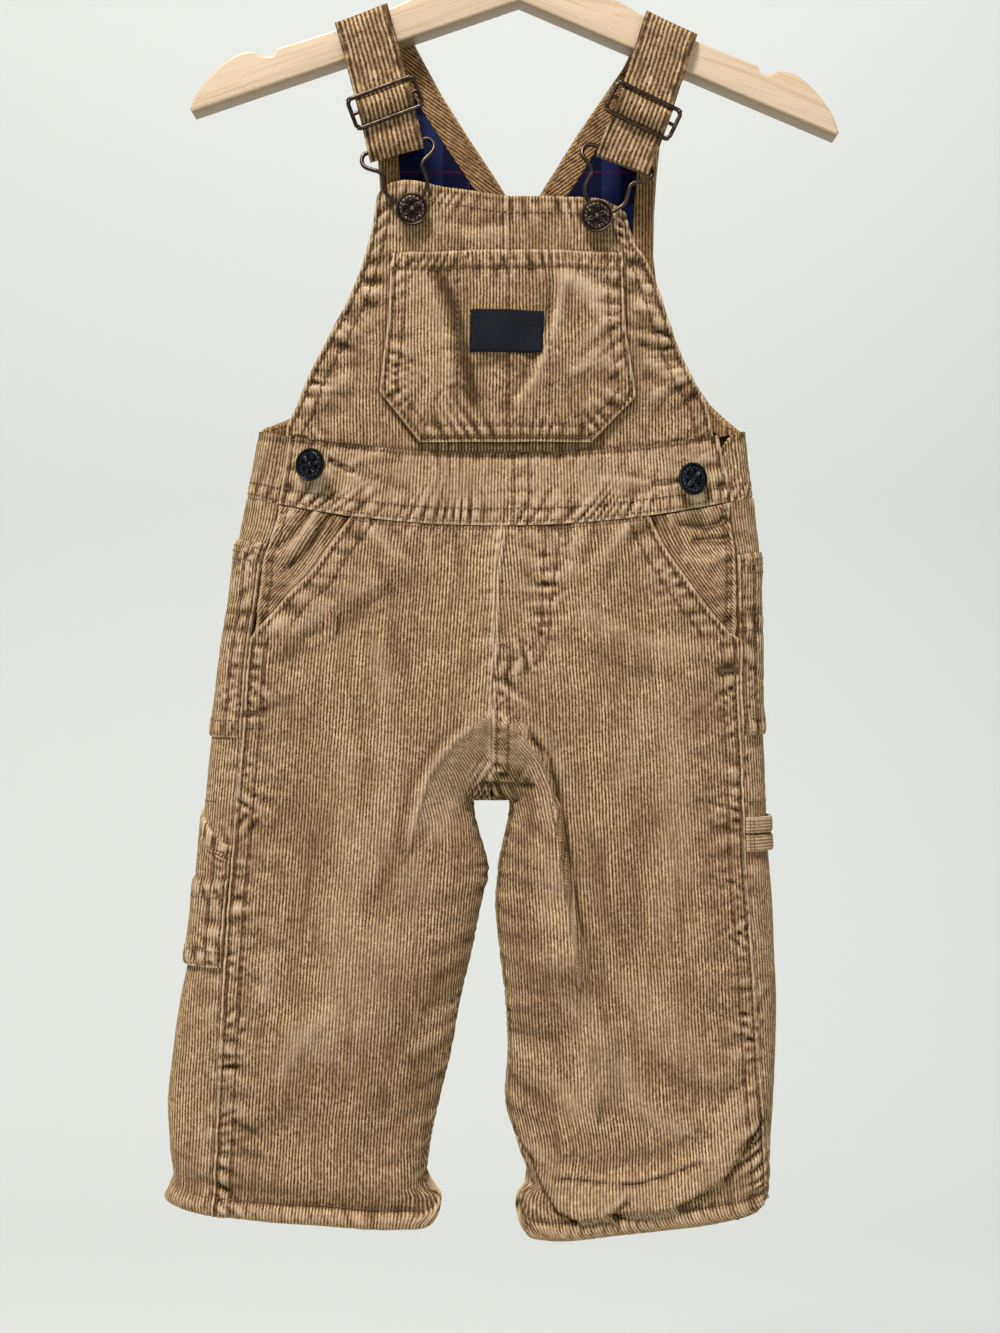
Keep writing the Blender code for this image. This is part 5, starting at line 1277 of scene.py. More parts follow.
def waistRim(turn):
    # the skin's depth where bib and back rise from the waistbands: 1 at the front, -1 at the back
    return np.where(ringX < 2.6, *(skin(side, turn * angleAt(side, ringX, bandTop), bandTop)[:, 1]
                                   for side in (right, left)))


frontRim, backRim = waistRim(1), waistRim(-1)


def bibY(x, z):
    rise = smooth(bandTop - 8, bibTop + 8, z)
    sag = 1.5 * np.sin(math.pi * np.clip((z - bandTop) / (bibTop - bandTop), 0, 1))
    top = 8.5 - 1.7 * (x / 55) ** 2
    soft = 0.35 * unevenness(x, z, 34, 7)
    return (mix(np.interp(x, ringX, frontRim), -top, rise) - sag
            - foldHeight(bib["folds"] + bib["creases"], x, z) - soft)


def depthNormal(depth, x, z, front):
    slopeX = (depth(x + 1, z) - depth(x - 1, z)) / 2
    slopeZ = (depth(x, z + 1) - depth(x, z - 1)) / 2
    turn = unit(np.stack([slopeX, -np.ones(np.shape(x)), slopeZ], -1))
    return turn if front else -turn


def bibPoint(x, z, lift=0.0):
    point = np.stack([x, bibY(x, z), z], -1)
    turn = depthNormal(bibY, x, z, True)
    return point + turn * np.asarray(lift)[..., None], turn


# bib pocket, lying on the bib
pocket = {
    "start": table((163, -34.5), (189, -55.3), (223.7, -51.4), (255.6, -49.7)),
    "end": table((163, 39.4), (187, 62.3), (219, 57.7), (251.4, 56.5)),
    "low": 166.0, "high": 253.5, "lying": 0.6, "wall": 1.6, "mouth": 1.6,
    "folds": [(-2.4, 6, 9, [(-27, 243), (-24, 236), (-20, 226), (-16, 207), (-13, 193), (-10.5, 187)]),
              (-1.2, 9, 7, [(19, 232), (14, 207), (8, 192), (2, 180)]),
              (1.6, 6, 9, [(31, 240), (28, 224), (23, 207), (17.5, 194), (10, 182)]),
              (1.8, 9, 10, [(37, 240), (42, 222), (43, 206)]),
              (1.8, 8, 7, [(-40, 240), (-34, 214), (-28, 190)])],
    "creases": [(-1.7, 2.2, 4.5, [(-27, 242), (-20.2, 227.9), (-16, 206.8), (-13.2, 192.7), (-11, 187)]),
                (0.9, 3, 4, [(-33, 242), (-26, 220), (-21, 196)]),
                (1.2, 2.4, 3.0, [(29.2, 237.8), (26.4, 223.7), (20.7, 206.8), (15.1, 194), (8, 184.2)]),
                (-1.2, 2.6, 2.6, [(24, 232), (21, 220), (15.6, 205), (10.4, 193), (3.6, 182)]),
                (-0.7, 2.5, 2.5, [(-14, 200), (-2, 202), (10, 200)]),
                (-0.8, 2, 3, [(38, 228), (44, 220), (52, 218)]),
                (0.8, 2.5, 2.5, [(40, 182), (50, 186), (57, 190)]),
                (-0.9, 2.2, 2.4, [(36, 178), (48, 181), (56, 185)]),
                (0.9, 3, 3.5, [(34, 198), (48, 203), (58, 199)]),
                (-0.9, 2.5, 3.5, [(32, 193), (48, 197), (58, 192)]),
                (1.0, 5, 5, [(24, 244), (40, 236), (48, 222)]),
                (-0.8, 3, 4, [(20, 246), (30, 236), (34, 222)]), (-0.7, 2.5, 3, [(-8, 203.5), (2, 204.5)])],
    "seams": (-19.5, 3.8, 22.6), "rows": (2.0, 7.4), "mouthRow": 8.0,
}
pocketLevels = np.linspace(pocket["low"], pocket["high"], 46)
pocketStarts, pocketEnds = (np.interp(pocketLevels, *pocket[key].T) for key in ("start", "end"))
pocketOutline = [(pocketStarts[-1], pocket["high"]), *pocket["start"][2:0:-1, ::-1],
                 (pocketStarts[0], pocket["low"]), (pocketEnds[0], pocket["low"]),
                 *pocket["end"][1:3, ::-1], (pocketEnds[-1], pocket["high"])]

share = np.linspace(0, 1, 56)
nominal = mix(bandTop, bibTop, share)
starts, ends = curveThrough(bib["start"], nominal), curveThrough(bib["end"], nominal)
columns = waleColumns(starts.min(), ends.max())
w = np.clip(columns[None, :], starts[:, None], ends[:, None])
z = mix(waistTop(w) + 0.05, curveThrough(bib["edge"], w), share[:, None])
point, normal = bibPoint(w, z)
panel = Panel("front_bib", w, nominal[:, None] + 0 * w, point, normal)
for away, seed in zip(panel.sides, (1.3, 3.7)):
    panel.pucker(away, panel.v, 1.9, 8.0, 1.05, 6.4, seed, 1.1, reach=1.7)
    for inset in bib["rows"]:
        panel.seam(away - inset, 0.95)
    panel.lift += 0.4 * smooth(9.2, 7.4, away)
    panel.cordEdge(away)
panel.pucker(panel.fromTop, w, 1.6, 7.6, 0.8, 5.4, 2.4, 0.9)
panel.seam(panel.fromTop - bib["topRow"], 1.0)
panel.lift += 0.5 * smooth(8.2, 7.0, panel.fromTop)
panel.cordEdge(panel.fromTop)
panel.joinSeam(panel.fromLow)
# painted light and shade from the creases, and a little darker all over
panel.tone += 0.55 * foldHeight(bib["creases"], point[..., 0], point[..., 2]) - 0.06
# the pocket's edge throws the bib under it into shade
shadow = lineDistance(point[..., 0], point[..., 2], [*pocketOutline, pocketOutline[0]])[0]
panel.tone -= 0.7 * np.exp(-((shadow / 1.8) ** 2))
# a ridge down the middle of the bib's top with painted highlight, painted shade in the furrows beside it
centre = (w - 2.8) + 200 * (panel.v < 255)
panel.ridge(centre, 0.4, 0.8, 0.8)
panel.groove(centre - 2.0, 0.2, 0.8, 0.4)
panel.groove(centre + 1.4, 0.35, 0.7, 0.7)
panel.finish(corduroy)
panel.stitchSides(bib["rows"])
panel.stitchLevels((bibTop - bib["topRow"],))
panel.standFor("bib_front", "hung", ["buckle_right", "buckle_left"])


def insetLine(outline, inset):
    # the outline moved in by this much, mitred at its corners
    corners = np.array(outline)
    middle = corners.mean(axis=0)
    line = []
    for k, corner in enumerate(corners):
        before, after = corners[max(0, k - 1)], corners[min(len(corners) - 1, k + 1)]
        normals = [unit(d)[::-1] * (1, -1) for d in (corner - before,
                                                     after - corner) if np.linalg.norm(d) > 0]
        out = [n if np.dot(n, corner - middle) > 0 else -n for n in normals]
        turn = unit(sum(out))
        line.append(corner - turn * inset / max(0.5, float(np.dot(turn, out[0]))))
    return line


columns = waleColumns(pocketStarts.min(), pocketEnds.max())
w = np.clip(columns[None, :], pocketStarts[:, None], pocketEnds[:, None])
levels = pocketLevels[:, None] + 0 * w
share = (w - pocketStarts[:, None]) / (pocketEnds - pocketStarts)[:, None]
loose = np.sin(math.pi * share)
raised = 2.3 * loose ** 0.7 + 1.3 * foldHeight(pocket["folds"] + pocket["creases"], w, levels) * loose ** 0.5
puff = 0.5 * (raised + np.sqrt(raised ** 2 + 0.6)) - 0.1  # never sinks into the bib under it
gape = pocket["mouth"] * smooth(225, 253, levels) * loose
point, normal = bibPoint(w, levels, pocket["lying"] + pocket["wall"] + 0.1 + puff + gape)
grown = unit(np.cross(np.gradient(point, axis=0), np.gradient(point, axis=1)))
facingFront = grown[..., 1:2] < 0
normal = unit(np.where(np.isfinite(grown), np.where(facingFront, grown, -grown), normal) + normal * 0.5)
panel = Panel("bib_pocket", w, levels, point, normal)
away, run, _ = lineDistance(w, levels, pocketOutline)
panel.pucker(away, run, 1.9, 8.6, 0.9, 5.8, 1.1, 1.1, reach=1.2)
for inset in pocket["rows"]:
    panel.seam(away - inset)
panel.cordEdge(away)
panel.lift += 0.3 * smooth(8.4, 7.2, away)
panel.seam(panel.fromTop - pocket["mouthRow"], 1.0)
panel.lift += 0.5 * smooth(8.6, 7.6, panel.fromTop)
panel.pucker(panel.fromTop, w, 1.6, 8.0, 0.75, 5.0, 3.2, 0.95)
panel.cordEdge(panel.fromTop)
panel.ridge(panel.fromTop - 1.2, 0.3, 1.0, 0.7)
panel.groove(panel.fromTop - 3.0, 0.3, 0.8, 0.9)
# painted light and shade from the creases and folds, and a little darker all over
panel.tone += 0.5 * foldHeight(pocket["creases"], w, levels) - 0.1
panel.tone += 0.1 * foldHeight(pocket["folds"], w, levels)
for at in pocket["seams"]:
    beside = w - at + 400 * (panel.v < 176)
    panel.seam(beside, 0.6)
    panel.pucker(np.abs(beside), panel.v, -1, 1.5, 0.35, 4.5, at, 0.4)
panel.finish(corduroy, wall=pocket["wall"])
for inset in pocket["rows"]:
    stitchRun(panel, insetLine(pocketOutline, inset))
panel.stitchLevels((pocket["high"] - pocket["mouthRow"],))
for at in pocket["seams"]:
    stitchRun(panel, [(at, 178.0), (at, 243.0)], length=1.9, gap=0.9)
panel.standFor("bib_pocket", "laid", "bib_front")
pocketPanel = panel

# Woven polyester patch, plain navy, dense satin weave with turned-in ends.
labelLook = {"x": 3.2, "z": 216.4, "width": 33.2, "height": 19.6, "lean": math.radians(-1.6), "wall": 0.9,
             "lift": 1.3, "stiffness": 60, "grid": (24, 40), "navy": "#0b0c12", "pale": "#1e212b"}


def labelMaterial():
    material, tree, shader = newMaterial("navy_woven_patch")
    weave = addNode(tree, "Attribute", {"attribute_name": "weave"}).outputs["Vector"]
    split = addNode(tree, "SeparateXYZ", links={0: weave})
    # picks 0.5 mm apart, coarser than the real 0.2 mm so that they show
    rows = addNode(tree, "Math", {"operation": "DIVIDE", 1: 0.5}, {0: split.outputs[1]})
    thread = addNode(tree, "Math", {"operation": "PINGPONG", 1: 0.5}, {0: rows})
    noise = addNode(tree, "TexNoise", {"Scale": 0.9, "Detail": 4.0}, {"Vector": weave})
    both = addNode(tree, "Math", {"operation": "MULTIPLY"}, {0: thread, 1: noise})
    ramp = addNode(tree, "ValToRGB", {"stops": [(0.05, labelLook["navy"]), (0.35, labelLook["pale"])]},
                   {0: both})
    bump = addNode(tree, "Bump", {"Strength": 0.4, "Distance": 0.0002}, {"Height": thread})
    setUp(tree, shader, {"Roughness": 0.8, "Specular IOR Level": 0.12}, {"Base Color": ramp, "Normal": bump})
    return material


tall, wide = labelLook["grid"]
w, v = np.meshgrid(np.linspace(-0.5, 0.5, wide) * labelLook["width"],
                   np.linspace(-0.5, 0.5, tall) * labelLook["height"])
cosine, sine = math.cos(labelLook["lean"]), math.sin(labelLook["lean"])
seat, turn = pocketPanel.at((labelLook["x"] + w * cosine - v * sine).ravel(),
                            (labelLook["z"] + w * sine + v * cosine).ravel())
seat, turn = seat.reshape(*w.shape, 3), turn.reshape(*w.shape, 3)
# stiff enough to bridge the small creases under it: smoothed down the rows, then along them
for _ in range(labelLook["stiffness"]):
    for grid in (seat, np.swapaxes(seat, 0, 1)):
        grid[1:-1] += 0.5 * ((grid[:-2] + grid[2:]) / 2 - grid[1:-1])
seat = seat + turn * labelLook["lift"]
panel = Panel("chest_label", w, v, seat, turn)
for away in panel.edges:
    panel.hemEdge(away, 0.5, 0.9)
    panel.groove(away - 1.5, 0.12, 0.5, 0.0)
panel.lift += 0.25 * unevenness(w, v, 16, 4)
panel.tone *= 0
panel.finish(labelMaterial(), wall=labelLook["wall"], relief=0.0, slot="label")
panel.standFor("chest_label", "laid", "bib_pocket")
print("bib made")

# back above the waist: its armhole edges and neck edges as (level, x)
back = {
    "right": table((160, -114), (164, -112.5), (170, -104), (180, -92), (192, -84), (215, -72), (240, -60),
                   (265, -56), (289, -57), (312.8, -58.9), (336, -65), (355, -71.5), (365, -75)),
    "left": table((160, 115.5), (163, 114), (168, 109), (175, 104), (186, 98), (196, 92.5), (215, 84),
                  (240, 75), (255, 73.2), (265, 72.7), (289, 74.1), (312.8, 76), (336.5, 83.1), (355.5, 90.3),
                  (365, 94.5)),
    "neckRight": table((274, 10.5), (287.6, 2.4), (310, -12.5), (332, -26.5), (355, -39), (365, -44)),
    "neckLeft": table((274, 10.5), (286.2, 18.5), (310, 33.5), (332, 47), (352.7, 58), (365, 64)),
    "neckX": 10.5, "neckZ": 274.0, "low": 162.0, "armTop": 358.0, "armDrop": 7.0, "armY": 10.0,
    "lowDrop": 2.2,
    "folds": [(1.8, 12, 12, [(-40, 180), (-34, 230)]), (-1.6, 12, 12, [(12, 175), (12, 240)]),
              (1.8, 12, 12, [(58, 180), (52, 232)])],
    "creases": [(0.9, 4, 5, [(-30, 200), (10, 206)]), (-0.8, 4, 4, [(-24, 222), (0, 214), (30, 220)]),
                (0.8, 4, 4, [(-60, 200), (-44, 226)]), (0.8, 4, 4, [(76, 200), (58, 230)]),
                (-0.7, 4, 4, [(-10, 256), (10, 262), (34, 255)])],
}


def backY(x, z):
    rise = smooth(bandTop - 10, 300, z)
    sag = 2.0 * np.sin(math.pi * np.clip((z - bandTop) / (back["armTop"] - bandTop), 0, 1))
    return (mix(np.interp(x, ringX, backRim), back["armY"], rise) + sag * (1 - rise)
            + foldHeight(back["folds"] + back["creases"], x, z))


def backLevel(x, z):
    lowBend = (waistTop(x) + 0.05 - back["low"]) * (1 - smooth(back["low"], 215, z))
    return z + lowBend - back["armDrop"] * smooth(320, back["armTop"], z) * (x > back["neckX"])


def backEdge(key, inset=0.0):
    # an edge of the back as x over the level, moved towards the cloth by the inset
    turn = 1 if key in ("right", "neckLeft") else -1

    def edgeAt(z):
        x = curveThrough(back[key], z)
        if key.startswith("neck"):
            x = np.where(z <= back["neckZ"], back["neckX"], x)
        return x + turn * inset
    return edgeAt


def backStrip(name, startOf, endOf, low, high, lift, faceFront, spacing=2.4):
    v = np.linspace(low, high, int((high - low) / spacing) + 2)
    starts, ends = startOf(v), endOf(v)
    columns = waleColumns(starts.min(), ends.max())
    w = np.clip(columns[None, :], starts[:, None], ends[:, None])
    levels = v[:, None] + 0 * w
    z = backLevel(w, levels)
    turn = depthNormal(backY, w, z, False)
    point = np.stack([w, backY(w, z), z], -1)
    drop = -back["lowDrop"] * (1 - smooth(172, 200, levels)) if faceFront else 0 * levels
    point = point + turn * (lift + drop)[..., None]
    return Panel(name, w, levels, point, -turn if faceFront else turn)


for name, startOf, endOf in (("right", backEdge("right"), backEdge("neckRight")),
                             ("left", backEdge("neckLeft"), backEdge("left"))):
    panel = backStrip(f"back_bib_{name}_half", startOf, endOf, back["low"], back["armTop"], 0, False)
    outer, inner = panel.sides if name == "right" else panel.sides[::-1]
    inner = inner + 60 * smooth(back["neckZ"] + 2, back["neckZ"] - 8, panel.v)  # no edge below the neck
    for away, seed in ((outer, 1.7), (inner, 4.1)):
        panel.pucker(away, panel.v, 1.9, 8.0, 0.75, 6.0, seed, 0.8)
        for inset in bib["rows"]:
            panel.seam(away - inset)
        panel.cordEdge(away)
    panel.pucker(panel.fromLow, panel.point[..., 0], 1.0, 2.0, 0.4, 6.2, 5.4, 0.5)
    panel.finish(corduroy)
    panel.stitchSides(bib["rows"], (name == "right",))
    panel.stitchSides(bib["rows"], (name != "right",), back["neckZ"] + 2)
    panel.standFor("back_bib", "hung", [f"strap_{name}"])

# lining and facings inside the back; the neck facings are cut on the bias
facings = {"neck": 13.0, "arm": 9.0, "inset": 0.8, "lift": -3.7, "wall": 1.0, "gap": 0.3, "bias": 0.95,
           "down": 11}
facingIn = facings["inset"]
neckIn, armIn = facingIn + facings["neck"], facingIn + facings["arm"]
neckLining, armLining = neckIn + facings["gap"], armIn + facings["gap"]
lowArm = back["neckZ"] - facings["gap"]
for name, startOf, endOf, low, high in (
        ("body", backEdge("right", armLining), backEdge("left", armLining),
         back["low"] - facings["down"], lowArm),
        ("right_arm", backEdge("right", armLining), backEdge("neckRight", neckLining),
         lowArm, back["armTop"]),
        ("left_arm", backEdge("neckLeft", neckLining), backEdge("left", armLining),
         lowArm, back["armTop"])):
    panel = backStrip(f"back_lining_{name}", startOf, endOf, low, high, facings["lift"], True, 4.0)
    panel.finish(checked, wall=facings["wall"], relief=0.12, slot="lining")
    panel.standFor("back_lining", "hung", "back_bib")


def biasGrain(slant):
    # the wales cross the strip at a slant
    cosine, sine = math.cos(facings["bias"]), slant * math.sin(facings["bias"])
    return lambda w, v: (w * cosine + v * sine, v * cosine - w * sine)


# name, solid, edge of the back, insets of its start and end, lowest level, slant of the wales
for name, node, key, start, end, low, slant in (
        ("right_neck_facing", "neck_facing_right", "neckRight", neckIn, facingIn, back["neckZ"] + 0.3, 1),
        ("left_neck_facing", "neck_facing_left", "neckLeft", facingIn, neckIn, back["neckZ"] + 0.3, -1),
        ("right_armhole_facing", "armhole_facing_right", "right", facingIn, armIn, back["low"], 0),
        ("left_armhole_facing", "armhole_facing_left", "left", armIn, facingIn, back["low"], 0)):
    panel = backStrip(name, backEdge(key, start), backEdge(key, end), low, back["armTop"], facings["lift"],
                      True, 0.6 if slant else 2.0)
    panel.pucker(panel.fromStart, panel.v, 0.5, 4.0, 0.15, 6.0, 2.0, 0.3)
    for away in panel.sides:
        panel.hemEdge(away, 0.6, 1.2)
    # these facings take the darker copy of the corduroy: painted shade inside the back
    panel.finish(shadedCorduroy, wall=facings["wall"], grain=biasGrain(slant) if slant else None)
    panel.stitchSides((1.6,), (start < end,))
    panel.standFor(node, "hung", "back_bib")
print("back made")

# straps: mm down from the hanger's top to the slider and the fold; spread widens the wales, which show
# coarser where the strap is stretched round its seam
strapLook = {"width": 26.0, "wall": 2.2, "spread": 0.7, "sliderReach": 45.0, "foldReach": 67.0,
             "stitches": 1.6}
straps = [
    {"name": "right", "turn": 1, "top": (-64.2, 365.3), "slider": (-53.0, 322.8), "fold": (-48.2, 302.2),
     "leans": (21.0, 20.5, 15.5), "behind": 26.0, "buckleLean": 14.0, "button": (-40.6, 273.7)},
    {"name": "left", "turn": -1, "top": (79.5, 361.0), "slider": (66.1, 319.1), "fold": (57.0, 296.5),
     "leans": (25.0, 26.0, 21.5), "behind": 26.0, "buckleLean": 20.5, "button": (44.7, 270.5)},
]
# run down from the hanger's top, and depth; the first five rows lie behind the hanger
strapPath = [(-36, 12.0), (-22, 12.0), (-10, 12.0), (-4, 11.6), (-0.4, 9.2), (-1.7, 5.0), (-1.8, -2.0),
             (-1.0, -6.4), (3.0, -8.2), (14, -8.4), (26, -8.9), (37.5, -9.5), (39.4, -11.0), (41.6, -14.0),
             (44.5, -15.5), (47.4, -14.4), (49.3, -11.4), (51, -9.9), (60, -10.2), (64.5, -10.4),
             (66.9, -9.5), (67.7, -7.9), (66.9, -6.3), (64.5, -5.4), (56, -5.3), (38, -5.4)]
behindRows = 5


def strapCentre(strap, behind, reach):
    if behind:
        lean = math.radians(strap["behind"])
        share = min(1, max(0, reach / 30))
        return (strap["top"][0] + strap["turn"] * reach * math.sin(lean),
                strap["top"][1] - reach * math.cos(lean), mix(strap["leans"][0], strap["behind"], share))
    sliderReach, foldReach = strapLook["sliderReach"], strapLook["foldReach"]
    if reach <= sliderReach:
        share, start, end, leans = reach / sliderReach, strap["top"], strap["slider"], strap["leans"][:2]
    else:
        share = (reach - sliderReach) / (foldReach - sliderReach)
        start, end, leans = strap["slider"], strap["fold"], strap["leans"][1:]
    lean = mix(leans[0], leans[1], min(1, max(0, share)))
    return mix(start[0], end[0], share), mix(start[1], end[1], share), lean


def throughPoints(knots, spacing, closed=False):
    # evenly spaced points on a smooth curve through the knots
    knots = np.array(knots, float)
    count = len(knots)
    found = []
    for k in range(count if closed else count - 1):
        a, b, c, d = (knots[j % count] if closed else knots[min(count - 1, max(0, j))]
                      for j in range(k - 1, k + 3))
        for t in np.linspace(0, 1, 14, endpoint=False):
            found.append(0.5 * (2 * b + (c - a) * t + (2 * a - 5 * b + 4 * c - d) * t * t
                                + (3 * b - a - 3 * c + d) * t ** 3))
    found.append(knots[0] if closed else knots[-1])
    found = np.array(found)
    length = runAlong(found[:, :3])
    even = np.linspace(0, length[-1], int(length[-1] / spacing) + 2)
    return np.stack([np.interp(even, length, found[:, k]) for k in range(found.shape[1])], -1)


for strap in straps:
    knots = []
    for k, (reach, depth) in enumerate(strapPath):
        behind = k < behindRows
        x, z, lean = strapCentre(strap, behind, -reach if behind else reach)
        knots.append((x, depth, z, lean))
    line = throughPoints(knots, 1.3)
    angle = np.radians(line[:, 3]) * strap["turn"]
    side = np.stack([np.cos(angle), 0 * angle, np.sin(angle)], -1)
    along = unit(np.gradient(line[:, :3], axis=0))
    out = unit(np.cross(side, along))
    half = strapLook["width"] / 2
    w, v = np.meshgrid(np.clip(waleColumns(-half, half), -half, half), runAlong(line[:, :3]))
    point = line[:, None, :3] + side[:, None] * w[..., None]
    normal = np.broadcast_to(out[:, None], point.shape)
    crown = strapLook["wall"] / 2 * (1 - 0.2 * (w / half) ** 2)
    panel = Panel(f"{strap['name']}_strap", w, v, point + normal * crown[..., None], normal)
    for away, seed in zip(panel.sides, (2.0, 5.0)):
        panel.seam(away - strapLook["stitches"], 0.9)
        panel.pucker(away, v, 0.3, 3.2, 0.5, 4.6, seed, 0.7)
        panel.hemEdge(away, 0.9, 1.3)
    # the ridges crinkle and stand in lumps where the strap was sewn tight, with painted highlight on the
    # lumps, painted shade between them, and a little darker all over
    crinkle = unevenness(w * 0.5, v, 5.5, 3 + strap["turn"]) + 0.7 * unevenness(w, v, 13, 6)
    panel.lift += 0.34 * crinkle
    panel.tone += 0.2 * crinkle - 0.2
    panel.finish(corduroy, wall=strapLook["wall"], every=3, relief=1.35, wander=0.32,
                 grain=lambda w, v: (w * strapLook["spread"], v))
    panel.stitchSides((strapLook["stitches"],), length=2.1, gap=0.7)
    panel.standFor(f"strap_{strap['name']}", "folded", ["hanger_wood", f"slider_{strap['name']}"])
print("straps made")

# Die-cast zinc and steel wire, plated antique bronze: dark and warm, rubbed bright on the high places.
platedLook = {
    "antique_bronze_plate": {"dark": "#221b18", "warm": "#564a43", "bright": "#aca199"},
    "blackened_bronze_plate": {"dark": "#17181a", "warm": "#3e4146", "bright": "#85888e"},
    "nickel_plated_wire": {"dark": "#8f8f8e", "warm": "#b8b8b6", "bright": "#d8d8d6"},
}


def platedMaterial(name, worn=False):
    look = platedLook[name]
    material, tree, shader = newMaterial(name)
    coordinates = addNode(tree, "TexCoord").outputs["Object"]
    cloud = addNode(tree, "TexNoise", {"Scale": 420.0, "Detail": 2.0}, {"Vector": coordinates})
    level = addNode(tree, "MapRange", {"To Min": 0.24, "To Max": 0.66}, {"Value": cloud})
    if worn:
        # raised places rubbed bright, hollows left black
        weave = addNode(tree, "Attribute", {"attribute_name": "weave"}).outputs["Vector"]
        split = addNode(tree, "SeparateXYZ", links={0: weave})
        part = addNode(tree, "Math", {"operation": "MULTIPLY", 1: 0.3}, {0: cloud})
        level = addNode(tree, "Math", {"operation": "ADD"}, {0: part, 1: split.outputs[2]})
    ramp = addNode(tree, "ValToRGB", {"stops": [(0.3, look["dark"]), (0.55, look["warm"]),
                                                (0.85, look["bright"])]}, {0: level})
    rough = addNode(tree, "MapRange", {"From Min": 0.3, "From Max": 0.8, "To Min": 0.4, "To Max": 0.24},
                    {"Value": level})
    fine = addNode(tree, "TexNoise", {"Scale": 2600.0, "Detail": 2.0}, {"Vector": coordinates})
    bump = addNode(tree, "Bump", {"Strength": 0.1, "Distance": 0.0002}, {"Height": fine})
    setUp(tree, shader, {"Metallic": 1.0}, {"Base Color": ramp, "Roughness": rough, "Normal": bump})
    return material


bronze = platedMaterial("antique_bronze_plate")
wornBronze = platedMaterial("antique_bronze_plate", True)
gunmetal = platedMaterial("blackened_bronze_plate", True)


def wire(name, points, radius, closed, material, node):
    # round wire along a smooth line, points in mm
    knots = throughPoints(points, 0.7, closed)
    if closed:
        knots = knots[:-1]
    curve = bpy.data.curves.new(name, "CURVE")
    curve.dimensions = "3D"
    curve.bevel_depth = radius * mm
    curve.bevel_resolution = 3
    curve.use_fill_caps = True
    spline = curve.splines.new("POLY")
    spline.points.add(len(knots) - 1)
    for knot, spot in zip(spline.points, place(knots)):
        knot.co = (*spot, 1)
    spline.use_cyclic_u = closed
    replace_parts(addPiece(name, curve, material), node)


def leaning(lean):
    angle = math.radians(lean)
    return np.array([math.cos(angle), 0, math.sin(angle)]), np.array([-math.sin(angle), 0, math.cos(angle)])


slider = {"halfWidth": 16.2, "halfHeight": 7.2, "corner": 2.6, "y": -12.8, "wire": 1.0}
for strap in straps:
    x, z, lean = strapCentre(strap, False, strapLook["sliderReach"] - 0.5)
    side, up = leaning(lean * strap["turn"])
    middle = np.array([x, slider["y"], z])
    outline = []
    for turn, (sx, sy) in enumerate(((1, 1), (-1, 1), (-1, -1), (1, -1))):
        for k in range(5):
            angle = math.radians(90 * (turn + k / 4))
            a = sx * (slider["halfWidth"] - slider["corner"]) + slider["corner"] * math.cos(angle)
            b = sy * (slider["halfHeight"] - slider["corner"]) + slider["corner"] * math.sin(angle)
            outline.append(middle + side * a + up * b)
    wire(f"{strap['name']}_slider", outline, slider["wire"], True, bronze, f"slider_{strap['name']}")
    reach = side * slider["halfWidth"]
    wire(f"{strap['name']}_slider_bar", [middle - reach, middle + reach], slider["wire"] * 0.85, False,
         bronze, f"slider_{strap['name']}")

# overall buckle of bent wire: reach down from its top bar, half width, depth
buckle = {"length": 32.0, "wire": 1.0}
buckleRows = [(0, 7, -7.9), (0, 14, -7.9), (0.9, 16.0, -8.2), (3.6, 17.2, -8.9), (6.6, 16.4, -9.9),
              (8.8, 13.6, -10.6), (10.6, 10.8, -11.0), (13, 9.4, -11.2), (17, 9.8, -11.2), (21, 9.9, -11.2),
              (24.5, 8.0, -11.2), (27.5, 5.4, -11.2), (30.5, 4.3, -11.2), (33.5, 3.9, -11.2),
              (35.4, 2.4, -11.2), (36.2, 0, -11.2)]
for strap in straps:
    side, up = leaning(strap["buckleLean"] * strap["turn"])
    top = np.array([strap["button"][0], 0, strap["button"][1]]) + up * buckle["length"]
    one = [top - up * r + side * half + (0, y, 0) for r, half, y in buckleRows]
    other = [top - up * r - side * half + (0, y, 0) for r, half, y in buckleRows[:-1]]
    wire(f"{strap['name']}_buckle", one + other[::-1], buckle["wire"], True, bronze,
         f"buckle_{strap['name']}")

# tack buttons: a domed face inside a rim, with a plain flower and leaves in low relief
buttonLook = {"radius": 7.6, "petals": 6, "rings": 38, "turns": 112, "dome": 0.55, "sharp": 50}
# below the rim, down to the tack: radius and height
profileLow = [(7.6, 1.7), (7.1, 0.5), (5.6, 0.0), (2.6, 0.0), (2.4, -3.4), (0.01, -3.4)]


def buttonRelief(radius, angle, turnBy):
    # height of the face, and how far it stands above the sunk ground (0 to 1)
    share = radius / buttonLook["radius"]
    turn = angle + turnBy
    petals = buttonLook["petals"]
    swing = np.abs((turn * petals / (2 * math.pi)) % 1 - 0.5) * 2
    petal = smooth(0.06, 0.0, np.abs(swing - (0.15 + 1.15 * share)) - 0.07) * smooth(0.66, 0.6, share)
    vein = smooth(0.12, 0.05, 1 - swing) * smooth(0.2, 0.26, share) * smooth(0.6, 0.52, share)
    scroll = smooth(0.13, 0.05, np.abs(share - 0.71 - 0.045 * np.cos(petals * turn))) * (
        0.55 + 0.45 * smooth(-0.2, 0.4, np.cos(petals * turn * 3)))
    rim = smooth(0.86, 0.9, share) * smooth(1.0, 0.97, share)
    centre = smooth(0.15, 0.09, share)
    raised = np.clip(petal + vein + scroll * smooth(0.82, 0.76, share) + centre, 0, 1)
    height = 2.2 + buttonLook["dome"] * (1 - share ** 2) + 0.3 * raised + 0.3 * rim
    return height, np.clip(raised * 0.42 + rim * 0.36, 0, 1)


